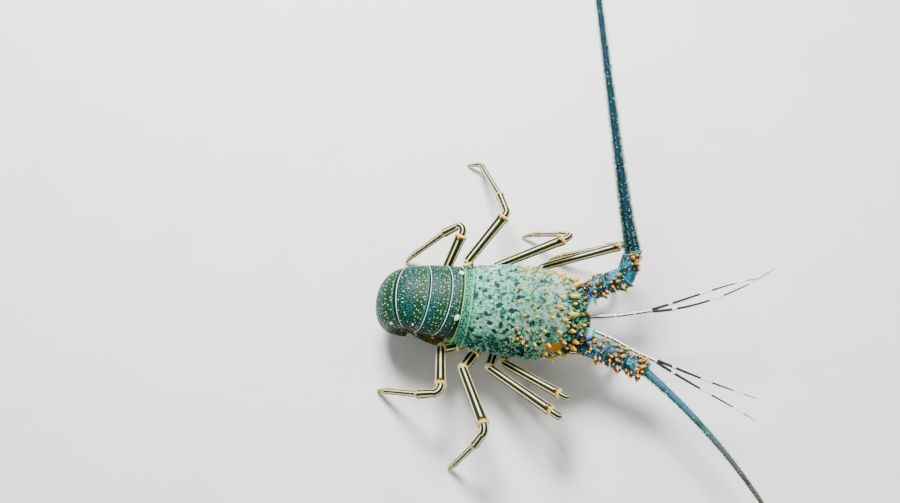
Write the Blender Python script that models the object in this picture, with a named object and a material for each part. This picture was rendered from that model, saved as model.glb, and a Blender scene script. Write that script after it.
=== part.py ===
"""Spiny lobster, a still, life-size model standing on its ten legs with the abdomen curled under.

Lengths named in the tables are millimetres in the animal's own frame: +X to the head, +Y to its left,
+Z up, the floor at Z = 0 and X = 0 at the rear edge of the carapace.
The solids are made in metres and moved at the end so that the origin is under the middle of the whole.
"""

import math
import random

import bmesh
import bpy
from mathutils import Matrix, Vector

MM = 0.001
GAP = 0.3
UP = Vector((0.0, 0.0, 1.0))
SHARP_EDGE = math.radians(42.0)

# Carapace: station, half width, top and low edge. The section is widest at WAIST.
CARAPACE_STATIONS = (
    (0.0, 31.0, 69.5, 25.0),
    (12.0, 34.0, 72.5, 21.0),
    (34.0, 36.5, 74.5, 19.5),
    (58.0, 36.0, 73.0, 19.5),
    (76.0, 32.0, 67.5, 21.0),
    (90.0, 26.0, 60.0, 25.0),
    (97.0, 17.0, 52.5, 32.0),
)
WAIST = 42.0
CARAPACE_RINGS = 15
CARAPACE_SIDES = 24
GROOVE_X = 47.0
GROOVE_DEPTH = 1.6
GROOVE_WIDTH = 4.5

# Abdomen: the middle line runs back from the carapace, then curls down and forward.
ABDOMEN_START = (-0.5, 50.0)
STRAIGHT = 38.5
CURL_RADIUS = 18.0
CURL_END = math.radians(165.0)
ABDOMEN_HALF_WIDTH = (29.5, 19.0)
ABDOMEN_HEIGHT = (18.5, 11.0)
ABDOMEN_DEPTH = (9.5, 6.5)
PLEURA_DEPTH = (13.0, 9.0)
# Rings of a plate: share along it, share of the side plates' depth and how far the shell swells
PLATE_RINGS = ((0.0, 0.4, -0.5), (0.3, 0.6, 0.1), (0.65, 1.0, 0.4), (0.92, 0.9, 0.5), (1.0, 0.4, -0.5))
# Edges of the six plates: run along the middle line and how far the sides sweep back from the crest
PLATE_EDGES = ((-2.0, 7.0), (8.3, 10.0), (25.3, 7.5), (46.3, -1.5), (61.5, -1.0), (76.2, -0.5), (90.3, 0.0))
PLATE_GAP = 0.5
CARAPACE_SWEEP = 7.0
SWEEP_END = 30.0

# Tail fan
TELSON_LENGTH = 34.0
UROPOD_LENGTH = 32.0
FAN_THICKNESS = 1.2
FAN_TURNS = (math.radians(4.0), math.radians(7.0))

# Sternum: rear and front half widths of the plate that the legs grow from
STERNUM_X = (-1.0, 66.0)
STERNUM_HALF_WIDTH = (22.5, 9.5)
STERNUM_Z = (11.5, 27.0)

# Legs: hip station and thickness by pair, then merus root, knee, ankle and toe of each
HIP_X = {5: 5.0, 4: 18.0, 3: 31.0, 2: 44.0, 1: 57.0}
HIP_Z = 19.0
LEG_GIRTH = {5: 1.0, 4: 1.0, 3: 0.88, 2: 0.8, 1: 0.84}
LEGS = {
    "left_5": ((-20.0, 30.0, 24.0), (-7.0, 60.0, 50.0), (-47.5, 56.0, 8.0), (-52.5, 52.0, 0.0)),
    "left_4": ((-0.5, 42.5, 36.0), (26.0, 79.5, 52.0), (2.5, 150.0, 9.0), (-10.0, 152.5, 0.0)),
    "left_3": ((22.0, 41.5, 33.5), (76.5, 62.5, 55.0), (53.5, 87.5, 9.0), (43.0, 87.5, 0.0)),
    "left_2": ((60.0, 46.0, 32.0), (123.0, 66.0, 46.0), (78.0, 70.0, 9.0), (67.0, 68.0, 0.0)),
    "left_1": ((70.0, 26.0, 22.0), (110.0, 40.0, 26.0), (120.0, 53.0, 7.0), (123.0, 57.0, 0.0)),
    "right_5": ((-14.5, -32.5, 29.0), (-11.0, -71.5, 48.0), (-56.5, -65.5, 7.0), (-62.5, -63.0, 0.0)),
    "right_4": ((4.5, -49.0, 31.0), (25.0, -102.0, 55.0), (5.0, -121.0, 7.0), (1.0, -122.5, 0.0)),
    "right_3": ((25.5, -45.5, 30.0), (76.5, -84.0, 50.0), (59.0, -57.0, 8.0), (54.5, -51.0, 0.0)),
    "right_2": ((36.0, -39.0, 28.0), (82.0, -67.5, 46.0), (64.0, -42.5, 8.0), (60.0, -37.0, 0.0)),
    "right_1": ((70.0, -20.5, 21.0), (112.0, -19.0, 23.5), (126.0, -13.0, 7.0), (130.0, -11.0, 0.0)),
}
COXA_RADIUS = 5.1
ISCHIUM_RADIUS = 4.5
MERUS_RADIUS = 4.3
KNEE_RADIUS = 5.1
CARPUS_RADIUS = 3.4
ELBOW_BEND = 4.5
PROPODUS_RADIUS = 2.5
DACTYL_RADIUS = 1.9
TOE_RADIUS = 0.9
WRIST_SHARE = 0.3
WRIST_BOW = 1.5
ELBOW_STEPS = 3
LEG_SIDES = 8

# Antennae: joints of the peduncle, then the flagellum's curve
PEDUNCLES = {
    "left": ((89.0, 17.5, 37.0), (112.5, 31.5, 46.0), (127.5, 35.5, 51.5), (131.0, 54.0, 61.5)),
    "right": ((89.0, -17.5, 37.0), (117.0, -27.0, 40.5), (132.0, -33.0, 41.0), (147.5, -39.5, 41.5)),
}
PEDUNCLE_RADII = ((7.6, 8.6), (8.0, 8.8), (7.8, 7.2))
FLAGELLA = {
    "left": ((131.0, 54.0, 61.5), (107.5, 114.0, 110.5), (64.0, 320.0, 203.0), (50.0, 345.0, 196.0)),
    "right": ((147.5, -39.5, 41.5), (229.0, -107.0, 48.5), (285.5, -189.5, 38.0), (318.0, -292.0, 16.0)),
}
FLAGELLUM_RADIUS = {"left": 4.6, "right": 3.4}
FLAGELLUM_TAPER = {"left": 1.2, "right": 1.5}
FLAGELLUM_TIP = 0.5
FLAGELLUM_RINGS = 30
FLAGELLUM_SIDES = 7
FLAGELLUM_CUT = 0.42

# Antennules: joints of the stalk, then the curve of each of its two whips
ANTENNULES = {
    "left": ((99.5, 4.5, 35.0), (123.0, 6.5, 39.5), (137.5, 9.0, 42.5), (150.5, 11.5, 45.5)),
    "right": ((99.5, -4.5, 35.0), (120.5, -13.0, 38.5), (139.0, -23.0, 40.5), (156.5, -30.5, 42.5)),
}
ANTENNULE_WHIPS = {
    "left_outer": ((176.5, 21.0, 50.5), (204.5, 35.5, 56.5), (234.0, 42.5, 60.5)),
    "left_inner": ((178.5, 14.0, 47.5), (214.5, 27.5, 53.5), (245.0, 51.0, 62.5)),
    "right_outer": ((181.5, -46.0, 42.0), (206.5, -56.5, 42.5), (235.0, -71.5, 41.5)),
    "right_inner": ((182.5, -39.5, 45.0), (207.5, -48.5, 46.5), (234.0, -55.5, 48.5)),
}
ANTENNULE_RADIUS = 1.5
WHIP_RADIUS = 1.05
WHIP_SPREAD = 0.85

# Eyes, horns and the plate between the antennae
EYE = (95.8, 20.4, 51.6)
EYE_RADIUS = 3.9
EYE_STALK_ROOT = (86.0, 12.0, 50.0)
EYE_STALK_RADIUS = 2.6
HORN = ((80.0, 7.5, 54.5), (79.5, 7.8, 61.5), (83.5, 8.0, 66.5), (94.0, 7.5, 67.0))
HORN_RADIUS = 4.2
PLATE_X = (86.0, 103.0)
PLATE_Z = (26.0, 42.0)
PLATE_HALF_WIDTH = 9.0

# Spines: sunk root, lean of the tip and root radius over length
SPINE_SEED = 11
SPINE_SIDES = 5
SPINE_ROOT = 1.6
SPINE_LEAN = 0.55
SPINE_SLENDER = 0.4
# Rows of carapace spines on each side: turn down from the crest in degrees, first and last station
SPINE_ROWS = (
    (9.0, 43.0, 76.0),
    (25.0, 48.0, 88.0),
    (42.0, 43.0, 88.0),
    (59.0, 48.0, 90.0),
    (77.0, 66.0, 88.0),
    (97.0, 72.0, 88.0),
)
SPINE_STEP = 10.5
SPINE_LENGTHS = (3.2, 5.6)
# Rings of spines on an antenna article: share along it, turns from its left side, size
ARTICLE_SPINES = ((0.36, (30, 165), 0.75), (0.6, (75, 125, 345), 0.9), (0.78, (20, 95, 155, 205), 1.0))
ARTICLE_SPINE = 4.6
BEND_LIMIT = 0.3
# Teeth on the plate between the antennae: station, distance off the middle, height, length
PLATE_TEETH = ((100.8, 4.0, 39.8, 4.6), (98.9, 3.9, 41.2, 3.0))
KNEE_SPINE = 3.4
# Tooth at the tip of each side plate of the abdomen: share along the plate and length
PLEURA_SPINE_AT = 0.72
PLEURA_SPINES = {1: 3.6, 2: 4.2, 3: 4.0, 4: 3.4}

# Mouth feet: root, elbow and tip, left side
MAXILLIPED = ((70.0, 6.5, 17.0), (97.0, 8.5, 22.0), (86.0, 5.5, 9.0))
MAXILLIPED_RADIUS = 3.2


def material(name, colour, roughness, metallic=0.0):
    """A plain Principled material."""
    made = bpy.data.materials.new(name)
    made.use_nodes = True
    shader = made.node_tree.nodes["Principled BSDF"]
    shader.inputs["Base Color"].default_value = (*colour, 1.0)
    shader.inputs["Roughness"].default_value = roughness
    shader.inputs["Metallic"].default_value = metallic
    return made


def mix(pair, t):
    """The value at share t between the two of a pair."""
    return pair[0] + (pair[1] - pair[0]) * t


def blend(stations, x):
    """Values of a table at x, eased between its rows with a Catmull-Rom curve."""
    xs = [row[0] for row in stations]
    x = min(max(x, xs[0]), xs[-1])
    i = max(k for k in range(len(xs) - 1) if xs[k] <= x)
    t = (x - xs[i]) / (xs[i + 1] - xs[i])
    found = []
    for column in range(1, len(stations[0])):
        p1, p2 = stations[i][column], stations[i + 1][column]
        p0 = stations[i - 1][column] if i > 0 else 2 * p1 - p2
        p3 = stations[i + 2][column] if i + 2 < len(xs) else 2 * p2 - p1
        bend = 2 * p0 - 5 * p1 + 4 * p2 - p3
        twist = 3 * p1 - p0 - 3 * p2 + p3
        found.append(0.5 * (2 * p1 + (p2 - p0) * t + bend * t * t + twist * t ** 3))
    return found


def bezier(points, t):
    """Point and direction on the cubic curve through its four control points at share t."""
    a, b, c, d = (Vector(p) for p in points)
    s = 1 - t
    place = a * s ** 3 + b * 3 * s * s * t + c * 3 * s * t * t + d * t ** 3
    way = (b - a) * 3 * s * s + (c - b) * 6 * s * t + (d - c) * 3 * t * t
    return place, way.normalized()


def mesh_object(name, rings, finish=None, domed=False, tip=None):
    """A closed solid lofted through rings of points. A domed end is a fan round its middle or a tip."""
    form = bmesh.new()
    rows = [[form.verts.new(Vector(p) * MM) for p in ring] for ring in rings]
    count = len(rows[0])
    for one, two in zip(rows, rows[1:]):
        for k in range(count):
            n = (k + 1) % count
            form.faces.new((one[k], one[n], two[n], two[k]))
    for row, step, point in ((rows[0], -1, None), (rows[-1], 1, tip)):
        if not (domed or point):
            form.faces.new(row[::step])
            continue
        middle = form.verts.new(point * MM if point else sum((v.co for v in row), Vector()) / count)
        for k in range(count):
            form.faces.new((row[k], row[(k + step) % count], middle))
    bmesh.ops.triangulate(form, faces=form.faces[:])
    bmesh.ops.recalc_face_normals(form, faces=form.faces[:])
    mesh = bpy.data.meshes.new(name)
    form.to_mesh(mesh)
    form.free()
    made = bpy.data.objects.new(name, mesh)
    bpy.context.scene.collection.objects.link(made)
    if finish:
        made.data.materials.append(finish)
    return made


def apply_modifiers(obj):
    """Puts the evaluated mesh in the object and clears its modifiers."""
    graph = bpy.context.evaluated_depsgraph_get()
    graph.update()
    mesh = bpy.data.meshes.new_from_object(obj.evaluated_get(graph))
    obj.modifiers.clear()
    obj.data = mesh


def box_diagonal(verts):
    """The diagonal of the box round some vertices."""
    low = Vector(min(v.co[k] for v in verts) for k in range(3))
    high = Vector(max(v.co[k] for v in verts) for k in range(3))
    return (high - low).length


def keep_largest(obj):
    """Keeps only the largest closed surface of the object."""
    form = bmesh.new()
    form.from_mesh(obj.data)
    left = set(form.verts)
    islands = []
    while left:
        edge = [left.pop()]
        island = set(edge)
        while edge:
            vert = edge.pop()
            for near in (e.other_vert(vert) for e in vert.link_edges):
                if near in left:
                    left.discard(near)
                    island.add(near)
                    edge.append(near)
        islands.append(island)
    if len(islands) > 1:
        largest = max(islands, key=box_diagonal)
        scraps = [v for island in islands if island is not largest for v in island]
        bmesh.ops.delete(form, geom=scraps, context="VERTS")
        form.to_mesh(obj.data)
    form.free()


def join_pieces(pieces, solver="EXACT"):
    """Fuses the pieces into the first one with one Boolean union and removes the others."""
    main, others = pieces[0], pieces[1:]
    group = bpy.data.collections.new(main.name + "_pieces")
    bpy.context.scene.collection.children.link(group)
    for other in others:
        bpy.context.scene.collection.objects.unlink(other)
        group.objects.link(other)
    union = main.modifiers.new("join", "BOOLEAN")
    union.operation = "UNION"
    union.operand_type = "COLLECTION"
    union.collection = group
    union.solver = solver
    apply_modifiers(main)
    for other in others:
        bpy.data.objects.remove(other)
    bpy.data.collections.remove(group)
    keep_largest(main)
    return main


def cut_away(obj, cutters):
    """Cuts the object back from the grown shapes of what it meets, which leaves the gap between them."""
    for cutter in cutters:
        cut = obj.modifiers.new("cut", "BOOLEAN")
        cut.operation = "DIFFERENCE"
        cut.object = cutter
        cut.solver = "EXACT"
    apply_modifiers(obj)
    keep_largest(obj)
    return obj


def as_cutter(obj):
    """Marks a helper, which the model leaves out."""
    obj.hide_render = True
    obj.display_type = "WIRE"
    return obj


def circle(centre, way, side, radius, sides, flatten=1.0):
    """Points of an ellipse square to a direction; flatten is its height over its width."""
    above = way.cross(side)
    turns = [2 * math.pi * (k + 0.5) / sides for k in range(sides)]
    return [
        Vector(centre) + side * radius * math.cos(a) + above * radius * flatten * math.sin(a)
        for a in turns
    ]


def tube_rings(stations, sides, flatten=1.0, end_ways=(None, None)):
    """Rings along a bent path of (place, radius) stations, turned from each to the next without twist."""
    places = [Vector(place) for place, _ in stations]
    steps = [(b - a).normalized() for a, b in zip(places, places[1:])]
    ways = [steps[0]] + [(a + b).normalized() for a, b in zip(steps, steps[1:])] + [steps[-1]]
    ways[0] = end_ways[0] or ways[0]
    ways[-1] = end_ways[1] or ways[-1]
    side = UP.cross(ways[0])
    rings = []
    for place, way, (_, radius) in zip(places, ways, stations):
        side = (side - way * side.dot(way)).normalized()
        rings.append(circle(place, way, side, radius, sides, flatten))
    return rings


def tube(name, stations, sides, finish=None, flatten=1.0, end_ways=(None, None)):
    """A closed bent tube through (place, radius) stations."""
    return mesh_object(name, tube_rings(stations, sides, flatten, end_ways), finish)


def face_cut(obj, place, way, gap):
    """Cuts off what lies behind a plane that faces way, and the gap's width in front of it."""
    form = bmesh.new()
    form.from_mesh(obj.data)
    plane = (Vector(place) + Vector(way) * gap) * MM
    geom = form.verts[:] + form.edges[:] + form.faces[:]
    bmesh.ops.bisect_plane(form, geom=geom, plane_co=plane, plane_no=way, clear_inner=True)
    bmesh.ops.holes_fill(form, edges=[e for e in form.edges if e.is_boundary])
    bmesh.ops.triangulate(form, faces=form.faces[:])
    bmesh.ops.recalc_face_normals(form, faces=form.faces[:])
    form.to_mesh(obj.data)
    form.free()


def sweep(turn, reach):
    """How far back an edge lies at a turn from the crest when its sides reach back this far."""
    return reach * (1.0 - math.cos(turn))


def spine(place, normal, ahead, length, radius):
    """A five-sided spine in two stages, its root sunk in and its tip drawn ahead."""
    ahead = (ahead - normal * ahead.dot(normal)).normalized()
    side = ahead.cross(normal)
    middle = place + normal * length * 0.4 + ahead * length * SPINE_LEAN * 0.25
    rings = [
        circle(place - normal * SPINE_ROOT, normal, side, radius * 1.1, SPINE_SIDES),
        circle(middle, normal, side, radius * 0.62, SPINE_SIDES),
    ]
    tip = place + normal * length + ahead * length * SPINE_LEAN
    return mesh_object("spine", rings, tip=tip)


# Carapace


def carapace_point(x, angle, grow=0.0):
    """Surface point at a station; the angle runs from 0 on the left side through 90 degrees on top."""
    half_width, top, low = blend(CARAPACE_STATIONS, x)
    groove = GROOVE_DEPTH * math.exp(-(((x - GROOVE_X) / GROOVE_WIDTH) ** 2))
    half_width, top, low = half_width + grow - groove * 0.6, top + grow - groove, low - grow
    across, rise = math.cos(angle), math.sin(angle)
    turn = abs(angle - math.pi / 2) if rise >= 0 else math.radians(90.0 - 25.0 * math.sin(2 * angle))
    if rise < 0 and across < 0:
        turn = math.radians(90.0 + 25.0 * math.sin(2 * angle))
    fade = max(1.0 - x / SWEEP_END, 0.0) ** 2
    back = sweep(turn, CARAPACE_SWEEP) * fade
    if rise >= 0:
        return Vector((x - back, half_width * across, WAIST + (top - WAIST) * rise))
    bulge = math.copysign(abs(across) ** 0.8, across)
    return Vector((x - back, half_width * bulge, WAIST + (WAIST - low) * rise))


def carapace_shell(name, grow=0.0):
    """The closed body of head and thorax."""
    last = CARAPACE_STATIONS[-1][0]
    rings = []
    for k in range(CARAPACE_RINGS):
        x = last * math.sin(math.pi / 2 * k / (CARAPACE_RINGS - 1)) ** 1.15
        angles = [2 * math.pi * j / CARAPACE_SIDES for j in range(CARAPACE_SIDES)]
        rings.append([carapace_point(x, angle, grow) for angle in angles])
    rings[0] = [p - Vector((grow, 0, 0)) for p in rings[0]]
    rings[-1] = [p + Vector((grow, 0, 0)) for p in rings[-1]]
    return mesh_object(name, rings, domed=True)


def carapace_normal(x, angle):
    """Direction out of the carapace at a station and angle."""
    ahead = carapace_point(x + 0.5, angle) - carapace_point(x - 0.5, angle)
    across = carapace_point(x, angle + 0.02) - carapace_point(x, angle - 0.02)
    return across.cross(ahead).normalized()


def carapace_spines():
    """Spines in rows on the front half, longer to the front and down the flanks."""
    draw = random.Random(SPINE_SEED)
    first, last = SPINE_ROWS[0][1], SPINE_ROWS[-1][2]
    made = []
    for side in (1.0, -1.0):
        for turn, start, end in SPINE_ROWS:
            for k in range(int((end - start) / SPINE_STEP) + 1):
                x = start + SPINE_STEP * k + draw.uniform(-1.2, 1.2)
                angle = math.radians(90.0 - side * (turn + draw.uniform(-2.5, 2.5)))
                length = mix(SPINE_LENGTHS, (x - first) / (last - first))
                length *= (1.0 + turn / 250.0) * draw.uniform(0.88, 1.12)
                normal = carapace_normal(x, angle)
                ahead = Vector((1.0, 0.0, 0.0))
                made.append(spine(carapace_point(x, angle), normal, ahead, length, length * SPINE_SLENDER))
    return made


def horn(side):
    """One of the two horns that rise over the eyes and curve forward."""
    points = [(x, y * side, z) for x, y, z in HORN]
    stations = [
        (bezier(points, t)[0], HORN_RADIUS * taper)
        for t, taper in ((0.0, 1.0), (0.3, 0.86), (0.6, 0.62), (0.85, 0.32), (1.0, 0.09))
    ]
    return tube("horn", stations, 7)


# Abdomen


def curl_state(s):
    """Place and heading of the abdomen's middle line after a run of s; heading 0 points back."""
    x, z = ABDOMEN_START
    heading = max(s - STRAIGHT, 0.0) / CURL_RADIUS
    x -= min(s, STRAIGHT) + CURL_RADIUS * math.sin(heading)
    return x, z - CURL_RADIUS * (1.0 - math.cos(heading)), heading


def abdomen_section(s, t, reach, pleura, swell):
    """Ring of an abdomen plate: an arch over two side plates with a belly between them."""
    half_width = mix(ABDOMEN_HALF_WIDTH, t ** 1.6) + swell
    height = mix(ABDOMEN_HEIGHT, t ** 1.2) + swell
    depth = mix(ABDOMEN_DEPTH, t)
    low = depth + (mix(PLEURA_DEPTH, t) - depth) * pleura
    half = []
    for k in range(7):
        turn = math.pi / 2 * k / 6
        half.append((turn, half_width * math.sin(turn), height * math.cos(turn)))
    half.append((math.radians(105.0), half_width - 0.8, -low * 0.55))
    half.append((math.radians(115.0), half_width - 2.4, -low))
    half.append((math.radians(111.0), half_width - 4.6, -depth - 0.5))
    half.append((math.radians(85.0), half_width * 0.5, -depth))
    half.append((math.radians(75.0), 0.0, -depth + 1.5))
    outline = half + [(turn, -across, rise) for turn, across, rise in half[-2:0:-1]]
    ring = []
    for turn, across, rise in outline:
        x, z, heading = curl_state(s + sweep(turn, reach))
        ring.append(Vector((x - math.sin(heading) * rise, across, z + math.cos(heading) * rise)))
    return ring


def plate_ring(number, share, pleura, swell):
    """Ring of a plate at a share along it, between its front and rear edges."""
    (start, start_reach), (end, end_reach) = PLATE_EDGES[number - 1], PLATE_EDGES[number]
    start, end = start + PLATE_GAP / 2, end - PLATE_GAP / 2
    s = start + (end - start) * share
    t = min(max(s, 0.0) / PLATE_EDGES[-1][0], 1.0)
    return abdomen_section(s, t, start_reach + (end_reach - start_reach) * share, pleura, swell)


def abdomen_segment(number, finish):
    """One plate of the abdomen, with its side plates drawn down toward the rear to a tooth each."""
    rings = [plate_ring(number, *row) for row in PLATE_RINGS]
    plate = mesh_object(f"abdomen_{number}", rings, finish, domed=True)
    if number not in PLEURA_SPINES:
        return plate
    length = PLEURA_SPINES[number]
    here, behind = (plate_ring(number, share, 1.0, 0.4) for share in (PLEURA_SPINE_AT, PLEURA_SPINE_AT + 0.05))
    teeth = []
    for above, tip in ((7, 8), (15, 14)):
        down = (here[tip] - here[above]).normalized()
        place = here[tip].lerp(here[above], 0.15)
        teeth.append(spine(place, down, behind[tip] - here[tip], length, length * SPINE_SLENDER))
    return join_pieces([plate] + teeth)


# Tail fan


def fan_place(along, across, rise):
    """A point of the tail fan's own plane put in the animal's frame."""
    x, z, heading = curl_state(PLATE_EDGES[-1][0])
    ahead, over = along + GAP / 2, rise
    return Vector((
        x - math.cos(heading) * ahead - math.sin(heading) * over,
        across,
        z - math.sin(heading) * ahead + math.cos(heading) * over,
    ))


def fan_blade(name, length, half_widths, root, turn, rise, finish):
    """A flat blade of the fan: an outline swept from its root, turned outward about it."""
    rings = []
    for share, half_width in half_widths:
        run = length * share
        thick = FAN_THICKNESS * (0.5 - 0.14 * share)
        corners = ((-half_width, -thick), (half_width, -thick), (half_width, thick), (-half_width, thick))
        ring = []
        for across, above in corners:
            along = root[0] + run * math.cos(turn) - across * math.sin(turn)
            beside = root[1] + run * math.sin(turn) + across * math.cos(turn)
            ring.append(fan_place(max(along, 0.0), beside, rise + above))
        rings.append(ring)
    return mesh_object(name, rings, finish)


def tail_fan(finish):
    """Telson and the two blades on each side of it, at three levels."""
    telson = ((0.0, 7.5), (0.12, 8.2), (0.5, 9.2), (0.85, 9.6), (0.97, 7.8), (1.0, 5.0))
    blade = ((0.0, 3.2), (0.18, 5.4), (0.45, 7.2), (0.75, 7.8), (0.93, 6.2), (1.0, 3.6))
    fan_blade("telson", TELSON_LENGTH, telson, (0.0, 0.0), 0.0, 3.2, finish)
    for side, word in ((1, "left"), (-1, "right")):
        inner, outer = (turn * side for turn in FAN_TURNS)
        fan_blade(f"uropod_{word}_inner", UROPOD_LENGTH, blade, (0.8, 8.5 * side), inner, 1.5, finish)
        fan_blade(f"uropod_{word}_outer", UROPOD_LENGTH, blade, (0.8, 11.5 * side), outer, -0.2, finish)


# Legs


def sternum(name, grow=0.0):
    """The wedge-shaped plate under the thorax; the legs grow from its sides."""
    low, high = STERNUM_Z[0] - grow, STERNUM_Z[1]
    rings = []
    for x, half_width, step in zip(STERNUM_X, STERNUM_HALF_WIDTH, (-grow, grow)):
        wide = half_width + grow
        profile = ((wide, low + 3), (wide, high), (-wide, high), (-wide, low + 3), (0, low))
        rings.append([(x + step, y, z) for y, z in profile])
    return mesh_object(name, rings)


def leg_joints(name):
    """Hip, coxa end, merus root, knee, ankle and toe of a leg, and its thickness."""
    side = 1.0 if name.startswith("left") else -1.0
    number = int(name[-1])
    merus_root, knee, ankle, toe = (Vector(p) for p in LEGS[name])
    share = (HIP_X[number] - STERNUM_X[0]) / (STERNUM_X[1] - STERNUM_X[0])
    hip = Vector((HIP_X[number], side * (mix(STERNUM_HALF_WIDTH, share) - 2.0), HIP_Z))
    coxa_end = hip.lerp(Vector((merus_root.x, merus_root.y, HIP_Z + 1.5)), 0.45)
    return hip, coxa_end, merus_root, knee, ankle, toe, LEG_GIRTH[number]


def upper_leg(name, cutters, finish):
    """Coxa, ischium and merus as one bent tube, cut back from the body."""
    hip, coxa_end, merus_root, knee, _, _, girth = leg_joints(name)
    stations = [
        (hip, COXA_RADIUS),
        (hip.lerp(coxa_end, 0.85), COXA_RADIUS * 0.95),
        (coxa_end, ISCHIUM_RADIUS * 0.84),
        (coxa_end.lerp(merus_root, 0.3), ISCHIUM_RADIUS),
        (coxa_end.lerp(merus_root, 0.88), ISCHIUM_RADIUS * 0.98),
        (merus_root, MERUS_RADIUS * 0.8),
        (merus_root.lerp(knee, 0.12), MERUS_RADIUS * 0.93),
        (merus_root.lerp(knee, 0.6), MERUS_RADIUS),
        (merus_root.lerp(knee, 0.9), KNEE_RADIUS * 0.92),
        (knee, KNEE_RADIUS),
    ]
    leg = tube(f"leg_{name}_upper", [(place, radius * girth) for place, radius in stations], LEG_SIDES, finish)
    cut_away(leg, cutters)
    way = (knee - merus_root).normalized()
    above = (UP - way * UP.dot(way)).normalized()
    place = merus_root.lerp(knee, 0.93) + above * KNEE_RADIUS * 0.9 * girth
    return join_pieces([leg, spine(place, above, way, KNEE_SPINE * girth, KNEE_SPINE * SPINE_SLENDER)])


def elbow_bend(knee, way, ankle, girth):
    """Places round the bend from the merus end to the carpus, clear of the merus."""
    fall = (ankle - knee).normalized()
    across = (fall - way * way.dot(fall)).normalized()
    radius = ELBOW_BEND * girth
    middle = knee + way * GAP + across * radius
    turn = way.angle(fall)
    angles = [turn * k / ELBOW_STEPS for k in range(ELBOW_STEPS + 1)]
    return [middle + (way * math.sin(a) - across * math.cos(a)) * radius for a in angles]


def lower_leg(name, finish):
    """Carpus, propodus and dactyl as one bent tube, with the toe flat on the floor."""
    _, _, merus_root, knee, ankle, toe, girth = leg_joints(name)
    way = (knee - merus_root).normalized()
    bend = elbow_bend(knee, way, ankle, girth)
    fall = (ankle - bend[-1]).normalized()
    wrist = bend[-1].lerp(ankle, WRIST_SHARE) + (way - fall * way.dot(fall)).normalized() * WRIST_BOW
    stations = [(place, CARPUS_RADIUS * 0.95) for place in bend]
    stations += [
        (wrist - fall * 2.5, CARPUS_RADIUS),
        (wrist, PROPODUS_RADIUS * 0.9),
        (wrist.lerp(ankle, 0.1), PROPODUS_RADIUS),
        (wrist.lerp(ankle, 0.9), PROPODUS_RADIUS * 0.9),
        (ankle, DACTYL_RADIUS * 0.85),
        (ankle.lerp(toe, 0.25), DACTYL_RADIUS),
        (ankle.lerp(toe, 0.75), DACTYL_RADIUS * 0.62),
    ]
    stations = [(place, radius * girth) for place, radius in stations] + [(toe, TOE_RADIUS)]
    tube(f"leg_{name}_lower", stations, LEG_SIDES, finish, end_ways=(way, -UP))


# Head


def article_spines(start, end, radii, before, after, draw):
    """Spines in rings round an article of the antenna's base, none on the inside of a bend."""
    way = (end - start).normalized()
    side = UP.cross(way).normalized()
    above = way.cross(side)
    made = []
    for share, turns, size in ARTICLE_SPINES:
        for turn in turns:
            angle = math.radians(turn + draw.uniform(-6.0, 6.0))
            out = side * math.cos(angle) + above * math.sin(angle)
            place = start.lerp(end, share) + out * mix(radii, share) * 0.96
            length = ARTICLE_SPINE * size * draw.uniform(0.9, 1.15)
            if max(out.dot(after), -out.dot(before)) < BEND_LIMIT:
                made.append(spine(place, out, way, length, length * SPINE_SLENDER))
    return made


def peduncle(word, cutters, finish):
    """The three thick articles that carry the antenna, each a node, cut square to their joints."""
    joints = [Vector(p) for p in PEDUNCLES[word]]
    ways = [(b - a).normalized() for a, b in zip(joints, joints[1:])]
    ways.append(bezier(FLAGELLA[word], 0.0)[1])
    draw = random.Random(SPINE_SEED)
    for k, (near, far) in enumerate(PEDUNCLE_RADII):
        start, end, way = joints[k], joints[k + 1], ways[k]
        stations = [
            (start - way * 4.0, near * 0.8),
            (start + way * 2.5, near),
            (start.lerp(end, 0.8), far),
            (end + way * 4.0, far * 0.8),
        ]
        body = tube(f"antenna_{word}_{k + 1}", stations, 10, finish, 0.92)
        if k == 0:
            cut_away(body, cutters)
        else:
            face_cut(body, start, (ways[k - 1] + way).normalized(), GAP / 2)
        after = (way + ways[k + 1]).normalized() if k < 2 else ways[k + 1]
        face_cut(body, end, -after, GAP / 2)
        before = ways[max(k - 1, 0)]
        join_pieces([body] + article_spines(start, end, (near, far), before, ways[k + 1], draw))


def flagellum(word, finish):
    """The long whip of the antenna in two lengths."""
    for first, last, part in ((0.0, FLAGELLUM_CUT, "base"), (FLAGELLUM_CUT, 1.0, "whip")):
        rings = []
        count = round(FLAGELLUM_RINGS * (last - first))
        side = UP.cross(bezier(FLAGELLA[word], first)[1])
        for k in range(count + 1):
            t = first + (last - first) * k / count
            place, way = bezier(FLAGELLA[word], t)
            if k == 0:
                place = place + way * GAP / 2
            elif k == count and last < 1:
                place = place - way * GAP / 2
            side = (side - way * side.dot(way)).normalized()
            radius = FLAGELLUM_TIP + (FLAGELLUM_RADIUS[word] - FLAGELLUM_TIP) * (1 - t) ** FLAGELLUM_TAPER[word]
            rings.append(circle(place, way, side, radius, FLAGELLUM_SIDES))
        mesh_object(f"antenna_{word}_{part}", rings, finish)


def antennule(word, cutters, finish):
    """The thin jointed stalk of an antennule."""
    joints = [Vector(p) for p in ANTENNULES[word]]
    stations = []
    for start, end in zip(joints, joints[1:]):
        stations += [(start, 0.82), (start.lerp(end, 0.12), 1.0), (start.lerp(end, 0.88), 0.95)]
    stations.append((joints[-1], 0.8))
    stalk = tube(f"antennule_{word}", [(place, scale * ANTENNULE_RADIUS) for place, scale in stations], 6, finish)
    cut_away(stalk, cutters)


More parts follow.
